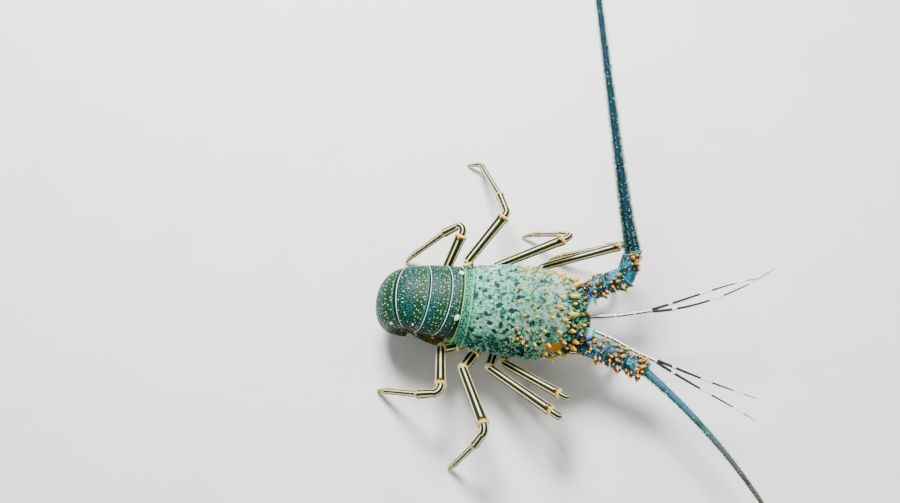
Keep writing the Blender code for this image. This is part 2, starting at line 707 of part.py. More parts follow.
def antennule_whip(name, finish):
    """One of the two thin whips at the end of an antennule's stalk."""
    word, place_word = name.split("_")
    near, end = (Vector(p) for p in ANTENNULES[word][2:])
    away = (1.0 if word == "left" else -1.0) * (1.0 if place_word == "outer" else -1.0)
    way = (end - near).normalized()
    start = end + way * GAP + UP.cross(way).normalized() * away * WHIP_SPREAD
    stations = [(start, 0.65)]
    for k in range(1, 13):
        t = k / 12
        stations.append((bezier((start, *ANTENNULE_WHIPS[name]), t)[0], WHIP_RADIUS * (1 - t) ** 0.8 + 0.25))
    tube(f"antennule_{name}", stations, 5, finish, end_ways=(way, None))


def head_plate(cutters, finish):
    """The plate between the antennae that carries the antennules, with the mouth frame below it."""
    rings = []
    for share, wide, low, high in ((0.0, 1.0, 0.0, 0.0), (0.75, 0.95, 1.5, 0.5), (1.0, 0.6, 5.5, 3.0)):
        x = mix(PLATE_X, share)
        half = PLATE_HALF_WIDTH * wide
        bottom, top = PLATE_Z[0] + low, PLATE_Z[1] - high
        profile = ((half, bottom), (half, top - 1.5), (half * 0.5, top))
        ring = list(profile) + [(-y, z) for y, z in reversed(profile)]
        rings.append([(x, y, z) for y, z in ring])
    plate = cut_away(mesh_object("antennular_plate", rings, finish), cutters)
    ahead = Vector((1.0, 0.0, 0.0))
    teeth = [
        spine(Vector((x, y * side, z)), UP, ahead, length, length * SPINE_SLENDER)
        for x, y, z, length in PLATE_TEETH
        for side in (1.0, -1.0)
    ]
    return join_pieces([plate] + teeth)


def eye(word, cutters, finish):
    """Eyeball on its short stalk, as one turned shape."""
    side = 1.0 if word == "left" else -1.0
    centre = Vector((EYE[0], EYE[1] * side, EYE[2]))
    root = Vector((EYE_STALK_ROOT[0], EYE_STALK_ROOT[1] * side, EYE_STALK_ROOT[2]))
    way = (centre - root).normalized()
    stations = [(root, EYE_STALK_RADIUS)]
    for degrees in (36.0, 60.0, 90.0, 120.0, 145.0, 168.0):
        angle = math.radians(degrees)
        stations.append((centre - way * EYE_RADIUS * math.cos(angle), EYE_RADIUS * math.sin(angle)))
    cut_away(tube(f"eye_{word}", stations, 10, finish), cutters)


def maxilliped(word, cutters, finish):
    """The foot beside the mouth, folded at its elbow."""
    side = 1.0 if word == "left" else -1.0
    root, elbow, tip = (Vector((p[0], p[1] * side, p[2])) for p in MAXILLIPED)
    radius = MAXILLIPED_RADIUS
    stations = [
        (root, radius),
        (root.lerp(elbow, 0.5), radius),
        (root.lerp(elbow, 0.95), radius * 0.85),
        (elbow + Vector((1.2, 0, -2.6)), radius * 0.8),
        (elbow.lerp(tip, 0.35) + Vector((0.6, 0, -1.0)), radius * 0.75),
        (tip, radius * 0.35),
    ]
    cut_away(tube(f"maxilliped_{word}", stations, 7, finish), cutters)


def grown_copy(obj, amount):
    """A helper copy of an object, scaled about the middle of its box so each side stands out."""
    copy = obj.copy()
    copy.data = obj.data.copy()
    copy.name = obj.name + "_cutter"
    bpy.context.scene.collection.objects.link(copy)
    for k in range(3):
        low = min(v.co[k] for v in copy.data.vertices)
        high = max(v.co[k] for v in copy.data.vertices)
        middle, factor = (low + high) / 2, 1 + 2 * amount * MM / (high - low)
        for v in copy.data.vertices:
            v.co[k] = middle + (v.co[k] - middle) * factor
    return as_cutter(copy)


def centre_on_origin():
    """Moves every piece so that the origin is at the floor under the middle of the whole."""
    points = [v.co for obj in bpy.context.scene.collection.objects for v in obj.data.vertices]
    low = Vector(min(p[k] for p in points) for k in range(3))
    high = Vector(max(p[k] for p in points) for k in range(3))
    shift = Vector((-(low.x + high.x) / 2, -(low.y + high.y) / 2, -low.z))
    for obj in bpy.context.scene.collection.objects:
        obj.data.transform(Matrix.Translation(shift))


def shade_round():
    """Smooth shading on every piece, with the edges sharper than a limit left sharp."""
    for obj in bpy.context.scene.collection.objects:
        obj.data.shade_smooth()
        obj.data.set_sharp_from_angle(angle=SHARP_EDGE)


def main():
    """Clears the scene and builds every part of the animal."""
    for obj in list(bpy.data.objects):
        bpy.data.objects.remove(obj)
    shell = material("carapace shell", (0.05, 0.22, 0.2), 0.5)
    tail = material("abdomen shell", (0.03, 0.1, 0.09), 0.4)
    limb = material("striped leg shell", (0.1, 0.06, 0.03), 0.4)
    blue = material("blue antenna shell", (0.02, 0.2, 0.4), 0.35)
    whip = material("antenna whip", (0.02, 0.09, 0.16), 0.5)
    dark = material("dark antennule", (0.02, 0.03, 0.03), 0.45)
    cornea = material("eye", (0.01, 0.01, 0.015), 0.1)

    body_cutter = as_cutter(carapace_shell("body_cutter", GAP))
    sternum_cutter = as_cutter(sternum("sternum_cutter", GAP))
    both = [body_cutter, sternum_cutter]

    body = carapace_shell("carapace")
    join_pieces([body, horn(1.0), horn(-1.0)] + carapace_spines())
    body.data.materials.append(shell)
    under = sternum("sternum")
    under.data.materials.append(limb)
    cut_away(under, [body_cutter])

    for number in range(1, 7):
        plate = abdomen_segment(number, tail)
        if number == 1:
            cut_away(plate, [body_cutter])
    tail_fan(tail)
    for name in LEGS:
        upper_leg(name, both, limb)
        lower_leg(name, limb)
    plate = head_plate([body_cutter], blue)
    plate_cutter = grown_copy(plate, GAP)
    for word in ("left", "right"):
        peduncle(word, [body_cutter, plate_cutter], blue)
        flagellum(word, whip)
        antennule(word, [plate_cutter], dark)
        eye(word, [body_cutter], cornea)
        maxilliped(word, both, limb)
    for name in ANTENNULE_WHIPS:
        antennule_whip(name, dark)
    for helper in (body_cutter, sternum_cutter, plate_cutter):
        bpy.data.objects.remove(helper)
    centre_on_origin()
    shade_round()


main()
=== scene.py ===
"""Looks of a spiny lobster, a still, life-size model: shells, spines, nap, finishes, light and camera.

Shapes are worked out in millimetres in the animal's own frame (+X to the head, +Y to its left, +Z up,
the floor at Z = 0 and X = 0 at the rear edge of the carapace) and moved into the shared frame in metres.
"""

import functools
import logging
import math
import random
from dataclasses import dataclass, field
from enum import Enum
from typing import Any

import bpy
import numpy as np
from mathutils import Matrix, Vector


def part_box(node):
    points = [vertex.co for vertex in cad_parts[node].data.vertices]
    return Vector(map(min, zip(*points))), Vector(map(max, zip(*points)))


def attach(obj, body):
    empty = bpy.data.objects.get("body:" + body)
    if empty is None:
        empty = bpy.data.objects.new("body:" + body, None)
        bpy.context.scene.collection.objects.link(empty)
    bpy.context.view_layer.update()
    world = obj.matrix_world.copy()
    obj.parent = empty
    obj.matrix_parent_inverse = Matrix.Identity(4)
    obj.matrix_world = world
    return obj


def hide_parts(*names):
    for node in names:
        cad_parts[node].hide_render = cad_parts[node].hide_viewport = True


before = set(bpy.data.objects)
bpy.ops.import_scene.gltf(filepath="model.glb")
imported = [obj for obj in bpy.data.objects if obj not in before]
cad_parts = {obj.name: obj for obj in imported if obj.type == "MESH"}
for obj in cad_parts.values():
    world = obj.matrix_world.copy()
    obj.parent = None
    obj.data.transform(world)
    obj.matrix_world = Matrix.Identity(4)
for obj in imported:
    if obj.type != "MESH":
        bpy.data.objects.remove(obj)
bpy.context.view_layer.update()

LOG = logging.getLogger("lobster")

Array = np.ndarray
Place = tuple[float, float, float]
Pair = tuple[float, float]
Table = tuple[tuple[float, ...], ...]
MM = 0.001
UP = np.array((0.0, 0.0, 1.0))
AHEAD = np.array((1.0, 0.0, 0.0))
LEFTWARD = np.array((0.0, 1.0, 0.0))
BAKE_MAP = "OFBake"

# Side of a bristle's patch of the bake map, as a share of the map
PATCH = 0.003

# Spacing in mm of the clouds that vary every finish's roughness, and how fibres are drawn out of
# noise of one unit: many round the limb, long along it
ROUGHNESS_CLOUDS = 3.0
FIBRES_AROUND = 12.0
FIBRES_ALONG = 0.07


class Side(Enum):
    """The two sides of the animal, with the sign of Y there."""

    LEFT = 1.0
    RIGHT = -1.0

    @property
    def flip(self) -> Array:
        """What a place on the left side is multiplied by to stand on this side."""
        return np.array((1.0, self.value, 1.0))

    @property
    def word(self) -> str:
        """The side's word in node names."""
        return self.name.lower()


class Slot(Enum):
    """Material slots of the record."""

    CARAPACE = "carapace_shell"
    ABDOMEN = "abdomen_shell"
    LEG = "leg_shell"
    ANTENNA = "antenna_shell"
    FLAGELLUM = "flagellum"
    ANTENNULE = "antennule_shell"
    CORNEA = "cornea"


class Pattern(Enum):
    """Kinds of pattern that a colour or a relief can follow."""

    PLAIN = "plain"
    CLOUDS = "clouds"
    DOTS = "dots"
    SPOTS = "spots"
    FIBRES = "fibres"


CLOUDS, DOTS, SPOTS, FIBRES = Pattern.CLOUDS, Pattern.DOTS, Pattern.SPOTS, Pattern.FIBRES


# Shared sums on arrays


def unit(vectors: Array) -> Array:
    """Vectors scaled to length one."""
    return vectors / np.linalg.norm(vectors, axis=-1, keepdims=True)


def dot(one: Array, two: Array) -> Array:
    """Dot products along the last axis, which is kept."""
    return (one * two).sum(axis=-1, keepdims=True)


def square_to(vectors: Array, ways: Array) -> Array:
    """Unit vectors made square to the unit ways."""
    return unit(vectors - ways * dot(vectors, ways))


def turned(side: Array, above: Array, angle: Array) -> Array:
    """Directions at angles that turn from the side vector to the one above."""
    return side * np.cos(angle)[:, None] + above * np.sin(angle)[:, None]


def mix(pair: tuple[Any, Any], share: Any) -> Any:
    """The value at a share of the way between the two of a pair."""
    return pair[0] + (pair[1] - pair[0]) * share


def step(values: Array, none: float, full: float) -> Array:
    """Smooth rise from 0 where values reach none to 1 where they reach full."""
    share = np.clip((values - none) / (full - none), 0.0, 1.0)
    return share * share * (3.0 - 2.0 * share)


def blunted(values: Array, power: float) -> Array:
    """Values raised to a power with their signs kept, which squares a round section off."""
    return np.sign(values) * np.abs(values) ** power


def around(count: int) -> Array:
    """Evenly spaced angles of a full turn, as a row."""
    return (2 * math.pi * np.arange(count) / count)[None, :]


def straight(start: Array, end: Array, count: int) -> Array:
    """Evenly spaced places from one to another."""
    return start + (end - start) * np.linspace(0.0, 1.0, count)[:, None]


def run_along(path: Array) -> Array:
    """Distance run along a path at each of its places."""
    return np.concatenate(([0.0], np.cumsum(np.linalg.norm(np.diff(path, axis=0), axis=1))))


def eased(table: Any, at: Any) -> Array:
    """Columns of a table at given keys, on a Catmull-Rom curve through its rows.

    Args:
        table: Rows of a key and its values.
        at: Keys to read at, of any shape.

    Returns:
        The values, with one axis more than the keys.
    """
    rows = np.asarray(table, float)
    keys = rows[:, 0]
    at = np.clip(np.asarray(at, float), keys[0], keys[-1])
    row = np.clip(np.searchsorted(keys, at, side="right") - 1, 0, len(keys) - 2)
    ends = np.vstack((2 * rows[0] - rows[1], rows, 2 * rows[-1] - rows[-2]))[:, 1:]
    t = ((at - keys[row]) / (keys[row + 1] - keys[row]))[..., None]
    a, b, c, d = (ends[row + k] for k in range(4))
    return b + 0.5 * t * (c - a + t * (2 * a - 5 * b + 4 * c - d + t * (3 * (b - c) + d - a)))


def curve(points: Any, t: Array) -> tuple[Array, Array]:
    """Places and directions on the cubic curve of four control points.

    Args:
        points: The four points.
        t: Shares along the curve.

    Returns:
        Places and unit directions, one row for each share.
    """
    a, b, c, d = (np.asarray(p, float) for p in points)
    t = np.asarray(t, float)[:, None]
    s = 1.0 - t
    place = a * s**3 + b * 3 * s * s * t + c * 3 * s * t * t + d * t**3
    return place, unit((b - a) * s * s + (c - b) * 2 * s * t + (d - c) * t * t)


def smooth_path(points: Array, count: int) -> Array:
    """Evenly keyed places on the Catmull-Rom curve through some points."""
    keys = run_along(points)
    return eased(np.column_stack((keys, points)), np.linspace(0.0, keys[-1], count))


# Surfaces


@dataclass
class Surface:
    """A mesh as arrays: points in millimetres, faces, marks with a value at each point, and patches."""

    points: Array
    quads: Array
    tris: Array
    marks: dict[str, Array] = field(default_factory=dict)
    patches: Array | None = None

    def turned_out(self) -> "Surface":
        """Turns the faces over if the volume inside them, summed over the triangles, comes out negative.

        Returns:
            This surface.
        """
        tris = np.concatenate((self.tris, self.quads[:, :3], self.quads[:, [0, 2, 3]]))
        a, b, c = (self.points[tris[:, k]] - self.points[0] for k in range(3))
        if (a * np.cross(b, c)).sum() < 0:
            self.quads, self.tris = self.quads[:, ::-1], self.tris[:, ::-1]
        return self


def joined(surfaces: list[Surface]) -> Surface:
    """Several surfaces as one; a mark that one of them lacks is zero there.

    Args:
        surfaces: What to join, none of them a coat with patches.

    Returns:
        The surface.
    """
    offsets = np.cumsum([0] + [len(s.points) for s in surfaces])[:-1]
    names = sorted({name for s in surfaces for name in s.marks})
    return Surface(
        np.concatenate([s.points for s in surfaces]),
        np.concatenate([s.quads + k for s, k in zip(surfaces, offsets)]),
        np.concatenate([s.tris + k for s, k in zip(surfaces, offsets)]),
        {n: np.concatenate([s.marks.get(n, np.zeros(len(s.points))) for s in surfaces]) for n in names},
    )


def skin(points: Array, marks: dict[str, Array] | None = None) -> Surface:
    """A closed skin over a grid: columns run round and join, and each end is a fan about its middle.

    Args:
        points: Grid of points, rows along and columns around.
        marks: Values that spread over the grid's rows and columns.

    Returns:
        The surface, facing outward.
    """
    rows, columns = points.shape[:2]
    index = np.arange(rows * columns).reshape(rows, columns)
    beside = np.roll(index, -1, axis=1)
    quads = np.stack((index[:-1], beside[:-1], beside[1:], index[1:]), axis=-1).reshape(-1, 4)
    first = np.full(columns, rows * columns)
    tris = np.concatenate((
        np.column_stack((beside[0], index[0], first)),
        np.column_stack((index[-1], beside[-1], first + 1)),
    ))
    ends = points[[0, -1]].mean(axis=1)
    spread = {}
    for name, values in (marks or {}).items():
        values = np.broadcast_to(values, (rows, columns))
        spread[name] = np.concatenate((values.ravel(), values[[0, -1]].mean(axis=1)))
    made = Surface(np.concatenate((points.reshape(-1, 3), ends)), quads, tris, spread)
    return made.turned_out()


def tube(path: Array, radii: Array, side: Array, sides: int, flatten: float = 1.0,
         planes: tuple[Array | None, Array | None] = (None, None)) -> Surface:
    """A closed tube: at each place a ring square to the path, wide along the side vector.

    A ring's point is the place plus radius times (side sin a + above cos a), with a from the top.
    Where an end plane is given, the rings near that end shear until the last lies in the plane.

    Args:
        path: Places along the middle line.
        radii: Radius at each place, or at each place and point of the ring.
        side: Vector, or one for each place, that the rings' width follows.
        sides: Points in a ring.
        flatten: Height over width of a ring.
        planes: Normals of the planes that the two ends lie in.

    Returns:
        The tube with the marks along and left, in mm from its ends, turn, from 0 on top to 1 below,
        and its chart u, v in mm.
    """
    ways = unit(np.gradient(path, axis=0))
    side = square_to(np.broadcast_to(side, path.shape), ways)
    above = np.cross(ways, side)
    angle = 2 * math.pi * (np.arange(sides) + 0.5) / sides - math.pi
    radii = np.asarray(radii, float)
    radii = np.broadcast_to(radii[:, None] if radii.ndim == 1 else radii, (len(path), sides))[..., None]
    offset = side[:, None] * np.sin(angle)[:, None] + above[:, None] * np.cos(angle)[:, None] * flatten
    offset = offset * radii
    run = run_along(path)
    share = run / run[-1]
    for plane, weight in zip(planes, ((1 - share) ** 3, share**3)):
        if plane is not None:
            lag = dot(offset, plane) / dot(ways, plane)[:, None]
            offset = offset - ways[:, None] * lag * weight[:, None, None]
    marks = {
        "along": run[:, None],
        "left": (run[-1] - run)[:, None],
        "turn": np.abs(angle)[None, :] / math.pi,
        "u": run[:, None],
        "v": angle[None, :] * float(radii.mean()),
    }
    return skin(path[:, None] + offset, marks)


SPINE_PROFILE = (
    (-0.25, 1.15), (0.0, 1.05), (0.14, 0.97), (0.32, 0.83), (0.54, 0.62), (0.76, 0.38), (0.92, 0.17),
)
HAIR_PROFILE = ((0.0, 1.0), (0.55, 0.72))
TOOTH_PROFILE = ((0.0, 1.0), (0.5, 0.6))


def spikes(roots: Array, normals: Array, aheads: Array, lengths: Array, radii: Array,
           profile: Table = SPINE_PROFILE, sides: int = 9, lean: float = 0.55,
           marks: dict[str, Array] | None = None, patches: Array | None = None) -> Surface:
    """Many tapering spikes at once, from horny spines to single bristles.

    A ring's middle is the root plus normal times length times share plus ahead times length times
    lean times share to the power 1.5, which curves the spike forward to its tip.

    Args:
        roots: Where the spikes stand.
        normals: Directions that they rise in.
        aheads: Directions that they lean to.
        lengths: Their lengths.
        radii: Their radii at the root.
        profile: Rings as share of the length and share of the radius.
        sides: Points in a ring.
        lean: Share of the length that the tip reaches ahead.
        marks: Values for each spike.
        patches: Map coordinates of each root on the skin that carries it.

    Returns:
        The surface with the mark reach, from 0 at the root to 1 at the tip.
    """
    normals = np.broadcast_to(normals, roots.shape)
    count, rings = len(roots), len(profile)
    share, girth = np.array(profile).T
    aheads = square_to(aheads, normals)
    across = np.cross(aheads, normals)
    angle = around(sides)[0]

    def middle(at: Array) -> Array:
        """Middles of all spikes' rings at shares of the length."""
        drawn = normals[:, None] * at[:, None] + aheads[:, None] * lean * np.maximum(at, 0.0)[:, None] ** 1.5
        return roots[:, None] + drawn * lengths[:, None, None]

    ring = across[:, None] * np.cos(angle)[:, None] + aheads[:, None] * np.sin(angle)[:, None]
    size = (radii[:, None] * girth)[..., None, None]
    body = middle(share)[:, :, None] + ring[:, None] * size
    index = np.arange(count * rings * sides).reshape(count, rings, sides)
    beside = np.roll(index, -1, axis=2)
    quads = np.stack((index[:, :-1], beside[:, :-1], beside[:, 1:], index[:, 1:]), axis=-1).reshape(-1, 4)
    tips = np.broadcast_to(count * rings * sides + np.arange(count)[:, None], (count, sides))
    crown = np.stack((index[:, -1], beside[:, -1], tips), axis=-1).reshape(-1, 3)
    foot = np.broadcast_to(index[:, 0, :1], (count, sides - 2))
    base = np.stack((foot, index[:, 0, 2:], index[:, 0, 1:-1]), axis=-1).reshape(-1, 3)
    points = np.concatenate((body.reshape(-1, 3), middle(np.ones(1)).reshape(-1, 3)))
    reach = np.broadcast_to(np.clip(share, 0, 1)[None, :, None], (count, rings, sides)).ravel()
    spread = {"reach": np.concatenate((reach, np.ones(count)))}
    for name, values in (marks or {}).items():
        spread[name] = np.concatenate((np.repeat(values, rings * sides), values))
    found = None
    if patches is not None:
        local = np.stack((np.broadcast_to(np.cos(angle), (rings, sides)) * 0.5,
                          np.broadcast_to(share[:, None], (rings, sides))), axis=-1)
        found = np.concatenate((
            (patches[:, None, None] + local * PATCH).reshape(-1, 2),
            patches + np.array((0.0, PATCH)),
        ))
    return Surface(points, quads, np.concatenate((crown, base)), spread, found).turned_out()


def hairs(roots: Array, normals: Array, lies: Array, lengths: Array, widths: Array,
          marks: dict[str, Array], patches: Array, lean: float = 0.6) -> Surface:
    """Three-sided bristles, ten triangles each, as a coat with a patch of the bake map for each."""
    return spikes(roots, normals, lies, lengths, widths, HAIR_PROFILE, 3, lean, marks, patches)


# Finishes


def linear(colour: str) -> tuple[float, float, float, float]:
    """An sRGB hex colour as linear red, green, blue and alpha, by the standard curve."""
    parts = [int(colour[k:k + 2], 16) / 255 for k in (1, 3, 5)]
    return (*(p / 12.92 if p <= 0.04045 else ((p + 0.055) / 1.055) ** 2.4 for p in parts), 1.0)


def add(tree: bpy.types.NodeTree, kind: str, inputs: dict[str | int, Any] | None = None,
        **settings: Any) -> bpy.types.Node:
    """Adds a node to a material.

    Args:
        tree: The material's node tree.
        kind: The node's type.
        inputs: A socket to link from, or a value, for each input.
        settings: Values of the node's own properties.

    Returns:
        The node.
    """
    node = tree.nodes.new(kind)
    for name, value in settings.items():
        setattr(node, name, value)
    for key, value in (inputs or {}).items():
        if isinstance(value, bpy.types.NodeSocket):
            tree.links.new(value, node.inputs[key])
        else:
            node.inputs[key].default_value = value
    return node


@dataclass(frozen=True)
class Layer:
    """A colour over those below it, which shows where a pattern and the surface's marks let it.

    Size is the pattern's spacing in mm. Cut is the pair of pattern values that hides and shows the
    colour, and a window is a mark's name with one or two such pairs, in a row.
    """

    colour: str
    pattern: Pattern
    size: float
    cut: Pair
    strength: float
    windows: tuple[tuple[str, tuple[float, ...]], ...]


def tint(colour: str, pattern: Pattern = Pattern.PLAIN, size: float = 1.0,
         cut: Pair = (0.45, 0.6), strength: float = 1.0,
         **windows: tuple[float, ...]) -> Layer:
    """A layer whose windows are given by the names of their marks."""
    return Layer(colour, pattern, size, cut, strength, tuple(windows.items()))


@dataclass(frozen=True)
class Relief:
    """A bump pattern with its spacing and height in mm."""

    pattern: Pattern
    size: float
    height: float
    cut: Pair = (0.3, 0.7)


@dataclass(frozen=True)
class Finish:
    """A surface: base colour, colour layers, reliefs and the shader's own values, roughness as a range."""

    name: str
    base: str
    layers: tuple[Layer, ...] = ()
    reliefs: tuple[Relief, ...] = ()
    roughness: Pair = (0.4, 0.5)
    ior: float = 1.5
    coat: float = 0.0
    coat_roughness: float = 0.1
    scatter: float = 0.0
    specular: float = 0.5


def pattern_value(tree: bpy.types.NodeTree, pattern: Pattern, size: float) -> bpy.types.NodeSocket:
    """The value of a pattern.

    Clouds are noise, dots the distance from the nearest of scattered points, spots the same on the
    skin's own chart of u and v in mm, and fibres are noise drawn out along a limb.

    Args:
        tree: The material's node tree.
        pattern: Which pattern.
        size: Its spacing in mm.

    Returns:
        The socket that gives the value.
    """
    if pattern in (CLOUDS, DOTS):
        place = add(tree, "ShaderNodeTexCoord").outputs["Object"]
        inputs = {"Vector": place, "Scale": 1.0 / (size * MM)}
        if pattern is DOTS:
            return add(tree, "ShaderNodeTexVoronoi", {**inputs, "Randomness": 0.8}).outputs["Distance"]
        return add(tree, "ShaderNodeTexNoise", {**inputs, "Detail": 3.0, "Roughness": 0.6}).outputs["Fac"]
    names = {"X": "u", "Y": "v"} if pattern is SPOTS else {"X": "turn", "Y": "along"}
    marks = {axis: add(tree, "ShaderNodeAttribute", attribute_name=name).outputs["Fac"]
             for axis, name in names.items()}
    place = add(tree, "ShaderNodeCombineXYZ", marks).outputs[0]
    if pattern is SPOTS:
        inputs = {"Vector": place, "Scale": 1.0 / size, "Randomness": 0.75}
        return add(tree, "ShaderNodeTexVoronoi", inputs, voronoi_dimensions="2D").outputs["Distance"]
    drawn = (FIBRES_AROUND / size, FIBRES_ALONG / size, 1.0)
    place = add(tree, "ShaderNodeVectorMath", {0: place, 1: drawn}, operation="MULTIPLY").outputs[0]
    return add(tree, "ShaderNodeTexNoise", {"Vector": place, "Scale": 1.0, "Detail": 2.0}).outputs["Fac"]


def opened(tree: bpy.types.NodeTree, strength: float,
           sources: list[tuple[bpy.types.NodeSocket, tuple[float, ...]]]) -> bpy.types.NodeSocket | float:
    """A strength times the smooth rise of each source from 0 at one value to 1 at another.

    Args:
        tree: The material's node tree.
        strength: What the product starts from.
        sources: Sockets, each with its value for 0 and its value for 1, which may be the smaller.

    Returns:
        The socket of the product, or the strength itself where there is no source.
    """
    product: Any = strength
    for value, (none, full) in sources:
        inputs = {"Value": value, "From Min": none, "From Max": full}
        rise = add(tree, "ShaderNodeMapRange", inputs, interpolation_type="SMOOTHSTEP").outputs["Result"]
        product = add(tree, "ShaderNodeMath", {0: rise, 1: product}, operation="MULTIPLY").outputs[0]
    return product


def layer_mask(tree: bpy.types.NodeTree, layer: Layer) -> bpy.types.NodeSocket | float:
    """How far a layer covers what is below it, by its strength, its windows and its pattern.

    Args:
        tree: The material's node tree.
        layer: The layer.

    Returns:
        The socket or the value to mix its colour by.
    """
    sources: list[Any] = []
    for name, values in layer.windows:
        mark = add(tree, "ShaderNodeAttribute", attribute_name=name).outputs["Fac"]
        sources += [(mark, pair) for pair in zip(values[::2], values[1::2])]
    if layer.pattern is not Pattern.PLAIN:
        sources.append((pattern_value(tree, layer.pattern, layer.size), layer.cut))
    return opened(tree, layer.strength, sources)


@functools.cache
def material(finish: Finish) -> bpy.types.Material:
    """Builds a finish's material: layers mixed in order, reliefs as chained bumps, roughness from clouds.

    Args:
        finish: The finish, built once however often it is asked for.

    Returns:
        The material.
    """
    made = bpy.data.materials.new(finish.name)
    made.use_nodes = True
    tree = made.node_tree
    shader = tree.nodes["Principled BSDF"]
    colour: Any = linear(finish.base)
    for layer in finish.layers:
        inputs = {0: layer_mask(tree, layer), 6: colour, 7: linear(layer.colour)}
        colour = add(tree, "ShaderNodeMix", inputs, data_type="RGBA").outputs[2]
    if isinstance(colour, tuple):
        shader.inputs["Base Color"].default_value = colour
    else:
        tree.links.new(colour, shader.inputs["Base Color"])
    clouds = pattern_value(tree, CLOUDS, ROUGHNESS_CLOUDS)
    spread = {"Value": clouds, "From Min": 0.3, "From Max": 0.7,
              "To Min": finish.roughness[0], "To Max": finish.roughness[1]}
    tree.links.new(add(tree, "ShaderNodeMapRange", spread).outputs["Result"], shader.inputs["Roughness"])
    normal = None
    for relief in finish.reliefs:
        height = opened(tree, 1.0, [(pattern_value(tree, relief.pattern, relief.size), relief.cut)])
        inputs = {"Height": height, "Distance": relief.height * MM}
        if normal:
            inputs["Normal"] = normal
        normal = add(tree, "ShaderNodeBump", inputs).outputs["Normal"]
    if normal:
        tree.links.new(normal, shader.inputs["Normal"])
    values = {
        "IOR": finish.ior, "Specular IOR Level": finish.specular,
        "Coat Weight": finish.coat, "Coat Roughness": finish.coat_roughness,
        "Subsurface Weight": finish.scatter, "Subsurface Scale": MM,
    }
    for name, value in values.items():
        shader.inputs[name].default_value = value
    return made


# Limy shell of head and thorax: mint mottled with cream and teal, dark spots, a pale rear rim and a
# matt grain of granules 1.3 mm apart; the lower flanks darken, partly their own darker green and partly
# painted shade
CARAPACE_SHELL = Finish(
    "limy carapace shell", "#4CE8B8",
    (
        tint("#06604A", SPOTS, 3.0, (0.42, 0.62)),
        tint("#D8FFF0", SPOTS, 3.0, (0.34, 0.12), 0.9),
        tint("#034A50", CLOUDS, 7.0, (0.54, 0.64), 0.9),
        tint("#02302E", strength=0.85, station=(80.0, 92.0)),
        # Lower flanks: teal, then near-black clouds; partly the shell's own darker green, partly painted
        # shade
        tint("#0F7A64", strength=0.8, turn=(0.29, 0.44)),
        tint("#02241C", CLOUDS, 5.0, (0.45, 0.6), turn=(0.33, 0.5)),
        tint("#E09A00", gold=(0.3, 0.6)),
        tint("#8BD8A0", SPOTS, 2.6, (0.26, 0.16), 0.6, turn=(0.3, 0.45)),
        tint("#5C6A3C", strength=0.8, turn=(0.7, 0.82)),
        tint("#043A2E", spot=(0.28, 0.56)),
        tint("#0F7052", station=(0.6, 1.2, 6.4, 5.8)),
        tint("#7FF0C4", SPOTS, 1.6, (0.34, 0.22), 0.9, station=(0.8, 1.4, 6.2, 5.4)),
        tint("#8FE8AE", station=(6.0, 6.3, 7.2, 6.9)),
        tint("#064A3A", strength=0.8, station=(7.2, 7.6, 9.0, 8.4)),
        tint("#86C860", station=(0.9, 0.6)),
    ),
    (Relief(SPOTS, 1.3, 0.25, (0.5, 0.1)), Relief(CLOUDS, 0.4, 0.06)),
    (0.55, 0.7), scatter=0.05, specular=0.3,
)

# Horny chitin of all spines: near-black red at the root, partly the chitin's own dark red and partly
# painted shade where each spine meets the shell, then amber and gold to a pale worn tip, with a waxy gloss
HORNY_SPINE = Finish(
    # Partly painted shade: the near-black base colour shows only at the very root, where a spine meets the
    # shell
    "amber chitin spine", "#260300",
    (
        tint("#6A1E00", reach=(0.05, 0.24)),
        tint("#B87400", reach=(0.2, 0.4)),
        tint("#E0B400", reach=(0.38, 0.62)),
        tint("#FFF08A", reach=(0.66, 0.92)),
    ),
    (Relief(CLOUDS, 0.5, 0.03),),
    (0.3, 0.42), coat=0.15, scatter=0.03,
)

# Horns over the eyes: dark wine chitin with amber dots and a yellow-green patch before the tip
HORN_CHITIN = Finish(
    "wine red horn chitin", "#4A0A02",
    (
        tint("#0A3A36", along=(6.0, 2.0)),
        tint("#0C0206", CLOUDS, 5.0, (0.46, 0.58), 0.9),
        tint("#F2A030", SPOTS, 2.6, (0.26, 0.18), 0.9),
        tint("#B6DC12", left=(9.4, 8.6, 2.6, 3.2), turn=(0.46, 0.38)),
    ),
    (Relief(CLOUDS, 0.6, 0.05),),
    (0.35, 0.46), coat=0.15,
)

# Nap of short bristles: deep teal at the root, mint to white at the tips of the pale tufts, dry and
# matt; the white tips, mostly on top, are partly a painted highlight and the darker nap down the flanks
# is partly painted shade; the bristles are thicker than in life so that they show
NAP = Finish(
    "pale bristle nap", "#045040",
    (
        tint("#18DCA0", reach=(0.0, 0.5)),
        tint("#82FFD2", reach=(0.0, 0.5), pale=(0.34, 0.6)),
        # Partly painted highlight: white tips where the nap is palest, mostly on top
        tint("#FBFFFD", tone=(0.1, 0.6), pale=(0.56, 0.76)),
        # Partly painted shade: dark and near-black where pale is low, which it is down the flanks
        tint("#02483C", strength=0.9, pale=(0.42, 0.26)),
        tint("#011814", strength=0.9, pale=(0.26, 0.1)),
        tint("#024A58", CLOUDS, 7.0, (0.54, 0.64), 0.75),
        tint("#F5B400", gold=(0.35, 0.6)),
    ),
    roughness=(0.6, 0.75), specular=0.25,
)

